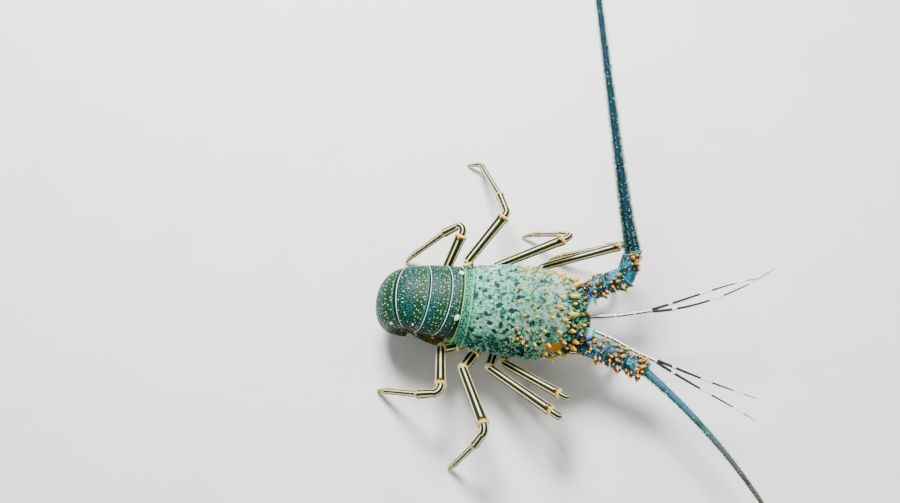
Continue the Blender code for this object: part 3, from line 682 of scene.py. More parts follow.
# Plates of the abdomen: smooth semi-gloss shell, zones of olive and teal with pale dots and a white rim;
# the finest dots are under 1 mm apart in life and are drawn at 1.5 mm so that they show
ABDOMEN_SHELL = Finish(
    "dotted abdomen shell", "#022A1C",
    (
        tint("#01120C", CLOUDS, 4.0, (0.46, 0.66)),
        tint("#14340A", CLOUDS, 7.0, (0.38, 0.6), 0.9, share=(0.2, 0.3, 0.64, 0.54)),
        tint("#00302E", CLOUDS, 6.0, (0.36, 0.52), 0.9, share=(0.52, 0.66)),
        tint("#171610", CLOUDS, 5.0, (0.45, 0.6), 0.6, share=(0.46, 0.52, 0.64, 0.58)),
        tint("#076048", CLOUDS, 5.0, (0.3, 0.5), 0.6, share=(0.12, 0.17, 0.27, 0.22)),
        tint("#01140D", strength=0.85, turn=(0.36, 0.52)),
        tint("#18AC96", SPOTS, 1.5, (0.22, 0.12), 0.8, turn=(0.48, 0.38), share=(0.5, 0.6)),
        tint("#35B486", SPOTS, 1.6, (0.18, 0.1), 0.6, turn=(0.56, 0.44), share=(0.6, 0.5)),
        tint("#A8F8BC", SPOTS, 3.4, (0.145, 0.1), share=(0.16, 0.24, 0.68, 0.6), turn=(0.6, 0.5)),
        tint("#C4FFEC", SPOTS, 5.0, (0.09, 0.06), 0.9, share=(0.66, 0.72), turn=(0.5, 0.4)),
        tint("#010C08", front=(3.3, 2.9)),
        tint("#1F9A74", strength=0.3, front=(3.2, 3.4, 4.1, 3.8), turn=(0.48, 0.4)),
        tint("#F5FFFA", blotch=(0.3, 0.5)),
        tint("#010D08", edge=(1.15, 0.9)),
        tint("#F2FFFA", edge=(0.5, 0.36), turn=(0.7, 0.64)),
        tint("#2F4A30", strength=0.8, turn=(0.84, 0.9)),
    ),
    (Relief(SPOTS, 1.6, 0.05, (0.4, 0.1)), Relief(CLOUDS, 0.8, 0.03)),
    (0.45, 0.6), specular=0.22,
)

# Tail fan and swimmerets: thin flexible shell, dull green that turns amber, with a pale rim
FAN_SHELL = Finish(
    "thin tail fan shell", "#3B5A3C",
    (
        tint("#8A6A2E", strength=0.7, share=(0.35, 0.6)),
        tint("#16352C", CLOUDS, 4.0, (0.5, 0.65)),
        tint("#E8E2B8", share=(0.93, 0.98)),
    ),
    (Relief(CLOUDS, 0.7, 0.06),),
    (0.32, 0.45), coat=0.2,
)

# Walking legs: smooth shell, dark olive with fine grey fibres, cream lines edged in amber, pale rims at
# the joints
LEG_SHELL = Finish(
    "striped leg shell", "#1A1F07",
    (
        tint("#0A1606", CLOUDS, 6.0, (0.45, 0.65), 0.7),
        tint("#4E5A34", FIBRES, 1.0, (0.56, 0.7), 0.2),
        tint("#5E3400", strength=0.9, turn=(0.245, 0.262, 0.42, 0.4)),
        tint("#FFFBB8", turn=(0.266, 0.28, 0.382, 0.368)),
        tint("#FFF2A0", turn=(0.72, 0.74, 0.85, 0.83)),
        tint("#1A0C02", strength=0.9, turn=(0.1, 0.085)),
        tint("#FFFBB8", turn=(0.052, 0.038)),
        tint("#B88A00", strength=0.8, left=(3.0, 2.1)),
        tint("#FFF090", left=(1.2, 0.8)),
        tint("#E0C850", along=(1.0, 0.5)),
    ),
    (Relief(CLOUDS, 1.5, 0.05),),
    (0.4, 0.52), specular=0.3,
)

# Articles at the base of the antennae: azure shell marbled with blackish green and cyan
PEDUNCLE_SHELL = Finish(
    "blue peduncle shell", "#00648C",
    (
        tint("#00A8B8", CLOUDS, 5.0, (0.54, 0.66), 0.9),
        tint("#021C1A", CLOUDS, 9.0, (0.45, 0.505), 0.95),
        tint("#04201A", strength=0.85, turn=(0.42, 0.6)),
        tint("#B4FFEA", SPOTS, 4.2, (0.12, 0.08), 0.7),
        tint("#2C8C80", strength=0.6, left=(0.9, 0.6)),
        tint("#2A0A00", strength=0.7, left=(2.4, 1.8, 0.9, 1.2)),
    ),
    (Relief(SPOTS, 2.4, 0.12, (0.5, 0.1)), Relief(CLOUDS, 0.7, 0.05)),
    (0.42, 0.54), coat=0.05, specular=0.35,
)

# Soft skin between those articles: dull teal
PEDUNCLE_JOINT = Finish(
    "teal joint skin", "#10595A",
    (tint("#7FCDB4", CLOUDS, 1.6, (0.5, 0.66), 0.7),),
    (Relief(CLOUDS, 0.8, 0.1),),
    (0.5, 0.6), scatter=0.1,
)

# Long whips of the antennae: dull ringed shell, deep blue with teal flanks and pale flecks
FLAGELLUM_SHELL = Finish(
    "ringed flagellum shell", "#012A42",
    (
        tint("#034240", strength=0.85, turn=(0.16, 0.4)),
        tint("#01141C", CLOUDS, 9.0, (0.5, 0.65), 0.7),
        tint("#3FA898", SPOTS, 2.2, (0.16, 0.1), 0.7),
    ),
    (Relief(CLOUDS, 0.6, 0.05),),
    (0.45, 0.6), specular=0.3,
)

# The right whip: the same shell in a paler teal that turns brown along it
PALE_TEAL_FLAGELLUM = Finish(
    "pale teal flagellum shell", "#2A646C",
    (
        tint("#54483A", strength=0.9, along=(40.0, 110.0)),
        tint("#0A2A26", strength=0.8, turn=(0.3, 0.5)),
        tint("#0A2420", CLOUDS, 9.0, (0.5, 0.65), 0.6),
    ),
    (Relief(CLOUDS, 0.6, 0.05),),
    (0.45, 0.6), specular=0.3,
)

# Fringe on the whips: stiff deep teal bristles, a few with pale tips
FRINGE = Finish(
    "teal bristle fringe", "#02262A",
    (
        tint("#1C6E68", reach=(0.2, 0.9)),
        tint("#A9E6D6", strength=0.8, tone=(0.85, 0.97)),
    ),
    roughness=(0.5, 0.7),
)

# Bristles of the legs: stiff, tawny, paler to the tip
LEG_BRISTLE = Finish(
    "tawny leg bristle", "#5A4522",
    (tint("#C9A55A", reach=(0.1, 0.8)),),
    roughness=(0.45, 0.6),
)

# Small teeth of the whips: pale mint shell with a dull gloss
PALE_SPINULE = Finish("pale spinule", "#8FE6D0", roughness=(0.4, 0.5))

# Stalks of the antennules: dull dark teal shell with a white line on top and white rims
ANTENNULE_SHELL = Finish(
    "banded antennule shell", "#14302E",
    (
        tint("#F4FAF4", turn=(0.22, 0.14)),
        tint("#F4FAF4", left=(1.8, 1.2)),
        tint("#2B6C7C", strength=0.6, turn=(0.4, 0.6)),
    ),
    (Relief(CLOUDS, 0.7, 0.04),),
    (0.4, 0.55),
)

# Their whips: the same dull shell, nearly black, with bright white bands
WHIP_SHELL = Finish(
    "banded antennule whip", "#06191B",
    (tint("#F2FCF6", band=(0.3, 0.7)),),
    roughness=(0.4, 0.55),
)

# Eyeball: wet glossy cornea over near-black pigment, with dark red patches that are a painted glint
CORNEA = Finish(
    "wet dark red cornea", "#0C0303",
    # Painted glint: dark red clouds that stand for the eye's reddish highlight
    (tint("#7A2208", CLOUDS, 2.6, (0.54, 0.7), 0.6),),
    (Relief(DOTS, 0.25, 0.003, (0.6, 0.2)),),
    (0.06, 0.1), ior=1.45, coat=1.0, coat_roughness=0.03,
)

# Eye stalks: smooth teal skin with pale speckles
EYE_STALK = Finish(
    "speckled eye stalk", "#0E4F5A",
    (tint("#B9E6D8", CLOUDS, 1.6, (0.54, 0.64), 0.8),),
    roughness=(0.4, 0.5), coat=0.1,
)

# Soft skin in the joints: pale, slightly translucent
JOINT_SKIN = Finish(
    "white joint skin", "#D8DCC8",
    (tint("#A08A5A", CLOUDS, 2.0, (0.5, 0.7), 0.6),),
    (Relief(CLOUDS, 0.8, 0.1),),
    (0.4, 0.55), scatter=0.2,
)

# Pleated fans beside the eyes: mint, white and lilac pleats with a pearly gloss
PEARLY_FAN = Finish(
    "pearly pleated fan", "#6CE4D4",
    (
        tint("#5A3CF0", pleat=(0.3, 0.7), across=(0.35, 0.6)),
        tint("#00A86C", pleat=(0.4, 0.8), across=(0.6, 0.4)),
        tint("#007A8C", strength=0.8, across=(0.84, 0.98)),
        tint("#004A5A", strength=0.9, out=(0.4, 0.15)),
        tint("#FBFFFF", strength=0.5, pleat=(0.25, 0.08)),
    ),
    (Relief(CLOUDS, 0.6, 0.05),),
    (0.3, 0.4), coat=0.2, specular=0.4,
)

# Plate under the thorax: chalky olive shell, darkened all over as painted shade under the body
SHADED_STERNUM_SHELL = Finish(
    # Painted shade: a dark olive base and near-black clouds for the shade under the thorax
    "shaded olive sternum shell", "#2A3018",
    (
        tint("#141C10", CLOUDS, 5.0, (0.45, 0.65)),
        tint("#A8A66A", DOTS, 3.0, (0.2, 0.14), 0.6),
    ),
    (Relief(CLOUDS, 1.2, 0.15),),
    (0.45, 0.55), coat=0.05,
)

# Floor: matt painted board
FLOOR_BOARD = Finish(
    "matt painted board", "#F4F5F3",
    (tint("#ECEEEB", CLOUDS, 60.0, (0.4, 0.7), 0.5),),
    roughness=(0.7, 0.8),
)


# Pieces


@dataclass(frozen=True)
class Piece:
    """A finished mesh, the CAD nodes it stands for and its material slot."""

    name: str
    surface: Surface
    finish: Finish
    nodes: tuple[str, ...]
    slot: Slot


def animal_shift() -> Array:
    """The step in mm from the animal's frame to the shared one, read off the sternum's box."""
    low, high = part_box("sternum")
    return np.array((low.x / MM + 1.0, (low.y + high.y) / 2 / MM, 0.0))


def place_piece(piece: Piece, shift: Array) -> bpy.types.Object:
    """Puts a piece in the scene as a mesh in the shared frame, under the root body, in place of its CAD
    parts.

    Args:
        piece: What to place.
        shift: Step from the animal's frame to the shared one, in mm.

    Returns:
        The object, which sits at the origin with its place in its mesh.
    """
    surface = piece.surface
    mesh = bpy.data.meshes.new(piece.name)
    mesh.vertices.add(len(surface.points))
    mesh.vertices.foreach_set("co", ((surface.points + shift) * MM).astype(np.float32).ravel())
    corners = np.concatenate((surface.quads.ravel(), surface.tris.ravel())).astype(np.int32)
    mesh.loops.add(len(corners))
    mesh.loops.foreach_set("vertex_index", corners)
    starts = np.concatenate((
        np.arange(len(surface.quads)) * 4,
        len(surface.quads) * 4 + np.arange(len(surface.tris)) * 3,
    )).astype(np.int32)
    mesh.polygons.add(len(starts))
    mesh.polygons.foreach_set("loop_start", starts)
    mesh.update(calc_edges=True)
    for name, values in surface.marks.items():
        mesh.attributes.new(name, "FLOAT", "POINT").data.foreach_set("value", values.astype(np.float32))
    if surface.patches is not None:
        chart = mesh.uv_layers.new(name=BAKE_MAP)
        chart.data.foreach_set("uv", surface.patches[corners].astype(np.float32).ravel())
    mesh.shade_smooth()
    made = bpy.data.objects.new(piece.name, mesh)
    bpy.context.scene.collection.objects.link(made)
    mesh.materials.append(material(piece.finish))
    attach(made, "root")
    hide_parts(*piece.nodes)
    triangles = 2 * len(surface.quads) + len(surface.tris)
    LOG.info("%s: %d triangles for %s", piece.name, triangles, ", ".join(piece.nodes))
    return made


# Carapace


@dataclass(frozen=True)
class Carapace:
    """The shell of head and thorax with its spines, horns and nap.

    A station row is its place ahead of the rear edge, half width, top and low. The groove is its place,
    depth and width, the sweep how far the rear edge goes back and where that fades out, a spine row its
    turn from the crest in degrees, start and end, and a cluster its place, turn and count of spines.
    """

    stations: Table = (
        (0.0, 31.0, 69.5, 25.0),
        (12.0, 34.0, 72.5, 21.0),
        (34.0, 36.5, 74.5, 19.5),
        (58.0, 36.0, 73.0, 19.5),
        (76.0, 32.0, 67.5, 21.0),
        (90.0, 26.0, 60.0, 25.0),
        (97.0, 17.0, 52.5, 32.0),
    )
    waist: float = 42.0
    groove: tuple[float, float, float] = (47.0, 1.6, 4.5)
    sweep: Pair = (7.0, 30.0)
    grid: tuple[int, int] = (230, 260)
    chart_radius: float = 34.0
    rear_band: tuple[float, float, float, float] = (1.0, 1.6, 6.6, 6.0)
    band_depth: float = 0.5
    furrow: tuple[float, float, float] = (7.6, 0.7, 0.55)
    rear_lip: Table = ((3.0, -3.0), (0.6, -2.2), (0.0, -1.0))
    front_cap: Table = ((0.9, 0.7), (0.6, 1.1))
    spine_rows: Table = (
        (9.0, 43.0, 76.0), (25.0, 48.0, 88.0), (42.0, 43.0, 88.0),
        (59.0, 48.0, 90.0), (77.0, 66.0, 88.0), (97.0, 72.0, 88.0),
    )
    spine_step: float = 10.5
    spine_lengths: Pair = (3.2, 5.6)
    slender: float = 0.4
    seed: int = 11
    small_spines: int = 300
    small_reach: Pair = (96.0, 46.0)
    small_turns: Pair = (4.0, 112.0)
    small_lengths: Pair = (1.2, 2.6)
    small_slender: float = 0.48
    clusters: Table = ((47.0, -55.0, 16), (46.0, 56.0, 18))
    cluster_spread: Pair = (3.6, 9.0)
    cluster_lengths: Pair = (2.2, 3.2)
    tubercles: int = 420
    tubercle_sizes: Pair = (0.6, 1.2)
    tubercle_height: float = 0.45
    spots: int = 52
    spot_zone: Table = ((9.5, 44.0), (-92.0, 92.0))
    spot_radii: Pair = (1.0, 2.1)
    spot_gap: float = 6.6
    tufts: int = 1700
    nap_count: int = 19000
    nap_parts: Table = ((1.5, 56.0), (56.0, 97.0))
    nap_low: float = 128.0
    nap_thinned: Pair = (84.0, 126.0)
    # Turns in degrees over which the nap darkens down the flanks, partly painted shade
    nap_flank_dark_and_shade: Pair = (30.0, 80.0)
    nap_lengths: Pair = (0.8, 2.0)
    nap_width: float = 0.19
    gold_patch: tuple[float, float, float, float] = (73.0, 68.0, 7.5, 9.0)
    nap_density: Table = (
        (0, 0.15), (7, 0.2), (10, 0.5), (42, 0.6), (47, 0.5),
        (54, 0.8), (60, 0.9), (78, 0.9), (86, 0.5), (97, 0.3),
    )
    nap_pale: Table = (
        (0, 0.4), (10, 1.0), (30, 1.02), (42, 0.86), (52, 0.8), (68, 0.92), (78, 0.74), (86, 0.2), (97, 0.0),
    )
    horn: Table = ((80.0, 7.5, 54.5), (79.5, 7.8, 61.5), (83.5, 8.0, 66.5), (94.0, 7.5, 67.0))
    horn_radius: float = 4.2
    horn_taper: Table = ((0.0, 1.0), (0.3, 0.86), (0.6, 0.62), (0.85, 0.32), (1.0, 0.09))

    def place(self, station: Any, angle: Any, grow: float = 0.0) -> Array:
        """Points of the shell: half an ellipse above the waist and a blunter one below it.

        The rear edge sweeps back from the crest by sweep times one minus the cosine of the turn.

        Args:
            station: Distance ahead of the rear edge, on the crest.
            angle: From 0 on the left side through a quarter turn on top.
            grow: Distance to stand off the shell.

        Returns:
            The points.
        """
        station, angle = np.broadcast_arrays(np.asarray(station, float), np.asarray(angle, float))
        half_width, top, low = np.moveaxis(eased(self.stations, station), -1, 0)
        at, depth, width = self.groove
        groove = depth * np.exp(-(((station - at) / width) ** 2))
        half_width = half_width + grow - groove * 0.6
        top, low = top + grow - groove, low - grow
        across, rise = np.cos(angle), np.sin(angle)
        bulge = np.where(rise >= 0, across, blunted(across, 0.8))
        fade = np.maximum(1.0 - station / self.sweep[1], 0.0) ** 2
        back = self.sweep[0] * (1.0 - np.cos(self.turn(angle))) * fade
        high = np.where(rise >= 0, top - self.waist, self.waist - low)
        return np.stack((station - back, half_width * bulge, self.waist + high * rise), axis=-1)

    @staticmethod
    def turn(angle: Array) -> Array:
        """Turn down from the crest that sets how far back an edge lies."""
        below = np.radians(90.0 + 25.0 * np.abs(np.sin(2 * angle)))
        return np.where(np.sin(angle) >= 0, np.abs(angle - math.pi / 2), below)

    def normal(self, station: Any, angle: Any) -> Array:
        """Directions out of the shell, from steps of half a millimetre ahead and about a degree around."""
        ahead = self.place(station + 0.5, angle) - self.place(station - 0.5, angle)
        return unit(np.cross(self.place(station, angle + 0.02) - self.place(station, angle - 0.02), ahead))

    def spot_places(self) -> Array:
        """Dark spots strewn behind the groove, each kept clear of those before it.

        Returns:
            Rows of station, turn from the crest, radius and twist.
        """
        draw = random.Random(self.seed)
        (rear, front), (right, left) = self.spot_zone
        found: list[tuple[float, ...]] = []
        for _ in range(self.spots * 14):
            station, turn = draw.uniform(rear, front), math.radians(draw.uniform(right, left))
            gaps = (math.hypot(station - s, (turn - t) * self.chart_radius) for s, t, *_ in found)
            if all(gap > self.spot_gap for gap in gaps):
                found.append((station, turn, draw.uniform(*self.spot_radii), draw.uniform(0.0, 2 * math.pi)))
        return np.array(found[: self.spots])

    def near_spots(self, station: Array, angle: Array) -> Array:
        """Closeness to the nearest spot: 1 at its middle, 0 one radius beyond its wavy edge.

        Args:
            station: Stations to look at.
            angle: Angles there.

        Returns:
            The closeness at each.
        """
        found = np.zeros(np.broadcast(station, angle).shape)
        for s, t, radius, twist in self.spot_places():
            ahead, beside = station - s, (angle - (math.pi / 2 - t)) * self.chart_radius
            bearing = np.arctan2(beside, ahead)
            wave = 1.0 + 0.2 * np.sin(2 * bearing + twist) + 0.12 * np.sin(5 * bearing - twist)
            found = np.maximum(found, 1.0 - np.hypot(ahead, beside) * wave / (2 * radius))
        return found

    def relief(self, station: Array, angle: Array) -> Array:
        """Height of the rear rim, the shallow band before it and low round tubercles, each a bell.

        Args:
            station: Stations as a column.
            angle: Angles as a row.

        Returns:
            The height in mm over the grid.
        """
        low, full, end, fade = self.rear_band
        at, width, depth = self.furrow
        band = -self.band_depth * step(station, low, full) * step(station, end, fade)
        height = band - depth * np.exp(-(((station - at) / width) ** 2)) + 0.0 * angle
        rng = np.random.default_rng(self.seed)
        stations = rng.uniform(10.0, 92.0, self.tubercles)
        angles = rng.uniform(-0.35, math.pi + 0.35, self.tubercles)
        sizes = rng.uniform(*self.tubercle_sizes, self.tubercles)
        for s, a, size in zip(stations, angles, sizes):
            rows = np.abs(station[:, 0] - s) < 3 * size
            away = ((station[rows] - s) ** 2 + ((angle - a) * self.chart_radius) ** 2) / size**2
            height[rows] += self.tubercle_height * size * np.exp(-away)
        return height

    def shell(self) -> Surface:
        """The skin: the shell's points lifted by the relief, with a turned-in rear edge and a rounded front.

        Returns:
            The surface with the marks station, turn, spot and gold and its chart u, v in mm.
        """
        rows, columns = self.grid
        station = (self.stations[-1][0] * np.sin(np.linspace(0, math.pi / 2, rows)) ** 1.15)[:, None]
        angle = around(columns)
        points = self.place(station, angle)
        points = points + self.normal(station, angle) * self.relief(station, angle)[..., None]
        middle = points[-1].mean(axis=0)
        front = [middle + (points[-1] - middle) * share + AHEAD * out for share, out in self.front_cap]
        inner = [self.place(at, angle[0], grow) for at, grow in self.rear_lip]
        points = np.concatenate((inner, points, front))
        station = np.concatenate(([[6.0], [4.0], [0.0]], station, [station[-1]] * 2))
        marks = {
            "station": station,
            "turn": self.turn_share(angle),
            "spot": np.broadcast_to(self.near_spots(station, angle), points.shape[:2]),
            "gold": self.gold(station, np.degrees(self.turn(angle))),
            "u": station,
            "v": (angle - math.pi / 2) * self.chart_radius,
        }
        return skin(points, marks)

    def gold(self, station: Array, turn: Array) -> Array:
        """How strong the golden patch low on each flank is: 1 in its middle, falling off as a bell."""
        at, low, long, wide = self.gold_patch
        return np.exp(-(((station - at) / long) ** 2) - ((turn - low) / wide) ** 2)

    @staticmethod
    def turn_share(angle: Array) -> Array:
        """Turn down from the crest, from 0 on top to 1 below."""
        return np.abs((angle + math.pi / 2) % (2 * math.pi) - math.pi) / math.pi

    def main_spines(self) -> Surface:
        """The large spines, where the solids have theirs: the same rows, steps and draws.

        Returns:
            The spines of both sides.
        """
        draw = random.Random(self.seed)
        first, last = self.spine_rows[0][1], self.spine_rows[-1][2]
        rows = []
        for side in (1.0, -1.0):
            for turn, start, end in self.spine_rows:
                for k in range(int((end - start) / self.spine_step) + 1):
                    station = start + self.spine_step * k + draw.uniform(-1.2, 1.2)
                    angle = math.radians(90.0 - side * (turn + draw.uniform(-2.5, 2.5)))
                    length = mix(self.spine_lengths, (station - first) / (last - first))
                    rows.append((station, angle, length * (1.0 + turn / 250.0) * draw.uniform(0.88, 1.12)))
        station, angle, length = np.array(rows).T
        return self.stood(station, angle, length, self.slender, 11)

    def stood(self, station: Array, angle: Array, length: Array, slender: float, sides: int) -> Surface:
        """Spines on the shell that lean to the head; slender is their radius over their length."""
        roots, normals = self.place(station, angle), self.normal(station, angle)
        return spikes(roots, normals, AHEAD, length, length * slender, sides=sides, lean=0.3)

    def lesser_spines(self) -> Surface:
        """Small spines strewn from the groove to the front, and the clusters on the flanks.

        Returns:
            The spines, shorter to the rear.
        """
        rng = np.random.default_rng(self.seed + 1)
        station = mix(self.small_reach, rng.random(self.small_spines) ** 1.1)
        turn = rng.uniform(*self.small_turns, self.small_spines) * rng.choice((-1.0, 1.0), self.small_spines)
        length = mix(self.small_lengths, step(station, 44.0, 78.0))
        length = length * mix((0.7, 1.7), rng.random(self.small_spines) ** 2)
        for at, low, count in self.clusters:
            station = np.append(station, rng.normal(at, self.cluster_spread[0], count))
            turn = np.append(turn, rng.normal(low, self.cluster_spread[1], count))
            length = np.append(length, rng.uniform(*self.cluster_lengths, count))
        return self.stood(station, np.radians(90.0 + turn), length, self.small_slender, 8)

    def horns(self) -> Surface:
        """The two horns that rise over the eyes and curve forward, as tapering tubes on one curve each.

        Returns:
            Both horns.
        """
        t = np.linspace(0.0, 1.0, 44)
        radii = self.horn_radius * eased(self.horn_taper, t)[:, 0]
        paths = [curve(np.array(self.horn) * side.flip, t)[0] for side in Side]
        return joined([tube(path, radii, LEFTWARD, 26) for path in paths])

    def nap(self, side: Side, part: int) -> Surface:
        """Bristles on a quarter of the shell, dense on top and in front, none in the dark spots.

        Args:
            side: Half of the shell.
            part: Which stretch of it.

        Returns:
            The bristles, with tone, pale and gold as marks for their colour; down the flanks pale is lowered,
            partly as painted shade.
        """
        rng = np.random.default_rng(self.seed + 3 + part + (0 if side is Side.LEFT else 10))
        station = rng.uniform(*self.nap_parts[part], self.nap_count * 5)
        turn = rng.uniform(0.0, self.nap_low, self.nap_count * 5)
        angle = np.radians(90.0 - side.value * turn)
        density = eased(self.nap_density, station)[:, 0] * (1.0 - 0.7 * step(turn, *self.nap_thinned))
        density *= self.near_spots(station, angle) < 0.45
        kept = np.flatnonzero(rng.random(len(station)) < density)[: self.nap_count]
        station, angle, turn = station[kept], angle[kept], turn[kept]
        ahead, beside, light = self.tuft_state(station, turn, rng)
        away = np.hypot(ahead, beside)
        # Lower down the flanks: partly the nap's own darker colour, partly painted shade
        pale = eased(self.nap_pale, station)[:, 0] - 0.6 * step(turn, *self.nap_flank_dark_and_shade)
        pale = np.clip(pale + 1.5 * (light - 0.5) - 0.35 * step(away, 0.6, 1.6), 0.0, 1.0)
        normal = self.normal(station, angle)
        across = np.cross(AHEAD, normal) * side.value
        lie = AHEAD * (1.0 + 0.6 * ahead)[:, None] + across * (0.6 * beside)[:, None]
        lie = lie + rng.normal(0.0, 0.25, normal.shape)
        normal = unit(normal + rng.normal(0.0, 0.15, normal.shape))
        length = mix(self.nap_lengths, step(station, 14.0, 60.0)) * rng.uniform(0.6, 1.3, len(kept))
        length = length * (1.1 - 0.4 * step(away, 0.4, 1.8))
        width = np.full(len(kept), self.nap_width)
        marks = {"tone": rng.random(len(kept)), "pale": pale, "gold": self.gold(station, turn)}
        patches = np.column_stack((0.02 + 0.95 * station / 100.0, 0.02 + 0.95 * turn / 130.0))
        return hairs(self.place(station, angle), normal, lie, length, width, marks, patches)

    def tuft_state(self, station: Array, turn: Array, rng: np.random.Generator) -> tuple[Array, Array, Array]:
        """Where each bristle stands in its tuft, which is the nearest of scattered middles.

        Args:
            station: Stations of the bristles.
            turn: Their turns down from the crest, in degrees.
            rng: Source of the middles.

        Returns:
            Distance ahead and around to the tuft's middle in mm, and the tuft's lightness from 0 to 1.
        """
        middles = rng.uniform((station.min(), 0.0), (station.max(), self.nap_low), (self.tufts, 2))
        scale = np.array((0.75, math.radians(1.0) * self.chart_radius))
        places = np.column_stack((station, turn))
        nearest = np.concatenate([
            np.argmin((((part[:, None] - middles) * scale) ** 2).sum(axis=2), axis=1)
            for part in np.array_split(places, 12)
        ])
        gap = (middles[nearest] - places) * scale
        return gap[:, 0], gap[:, 1], rng.random(self.tufts)[nearest]

    def pieces(self) -> list[Piece]:
        """Skin, spines, horns and the four parts of the nap.

        Returns:
            The pieces.
        """
        nodes = ("carapace",)
        spines = joined([self.main_spines(), self.lesser_spines()])
        made = [
            Piece("carapace_skin", self.shell(), CARAPACE_SHELL, nodes, Slot.CARAPACE),
            Piece("carapace_spines", spines, HORNY_SPINE, nodes, Slot.CARAPACE),
            Piece("carapace_horns", self.horns(), HORN_CHITIN, nodes, Slot.CARAPACE),
        ]
        for side in Side:
            for part, word in enumerate(("rear", "front")):
                name = f"carapace_nap_{side.word}_{word}"
                made.append(Piece(name, self.nap(side, part), NAP, nodes, Slot.CARAPACE))
        return made


# Abdomen


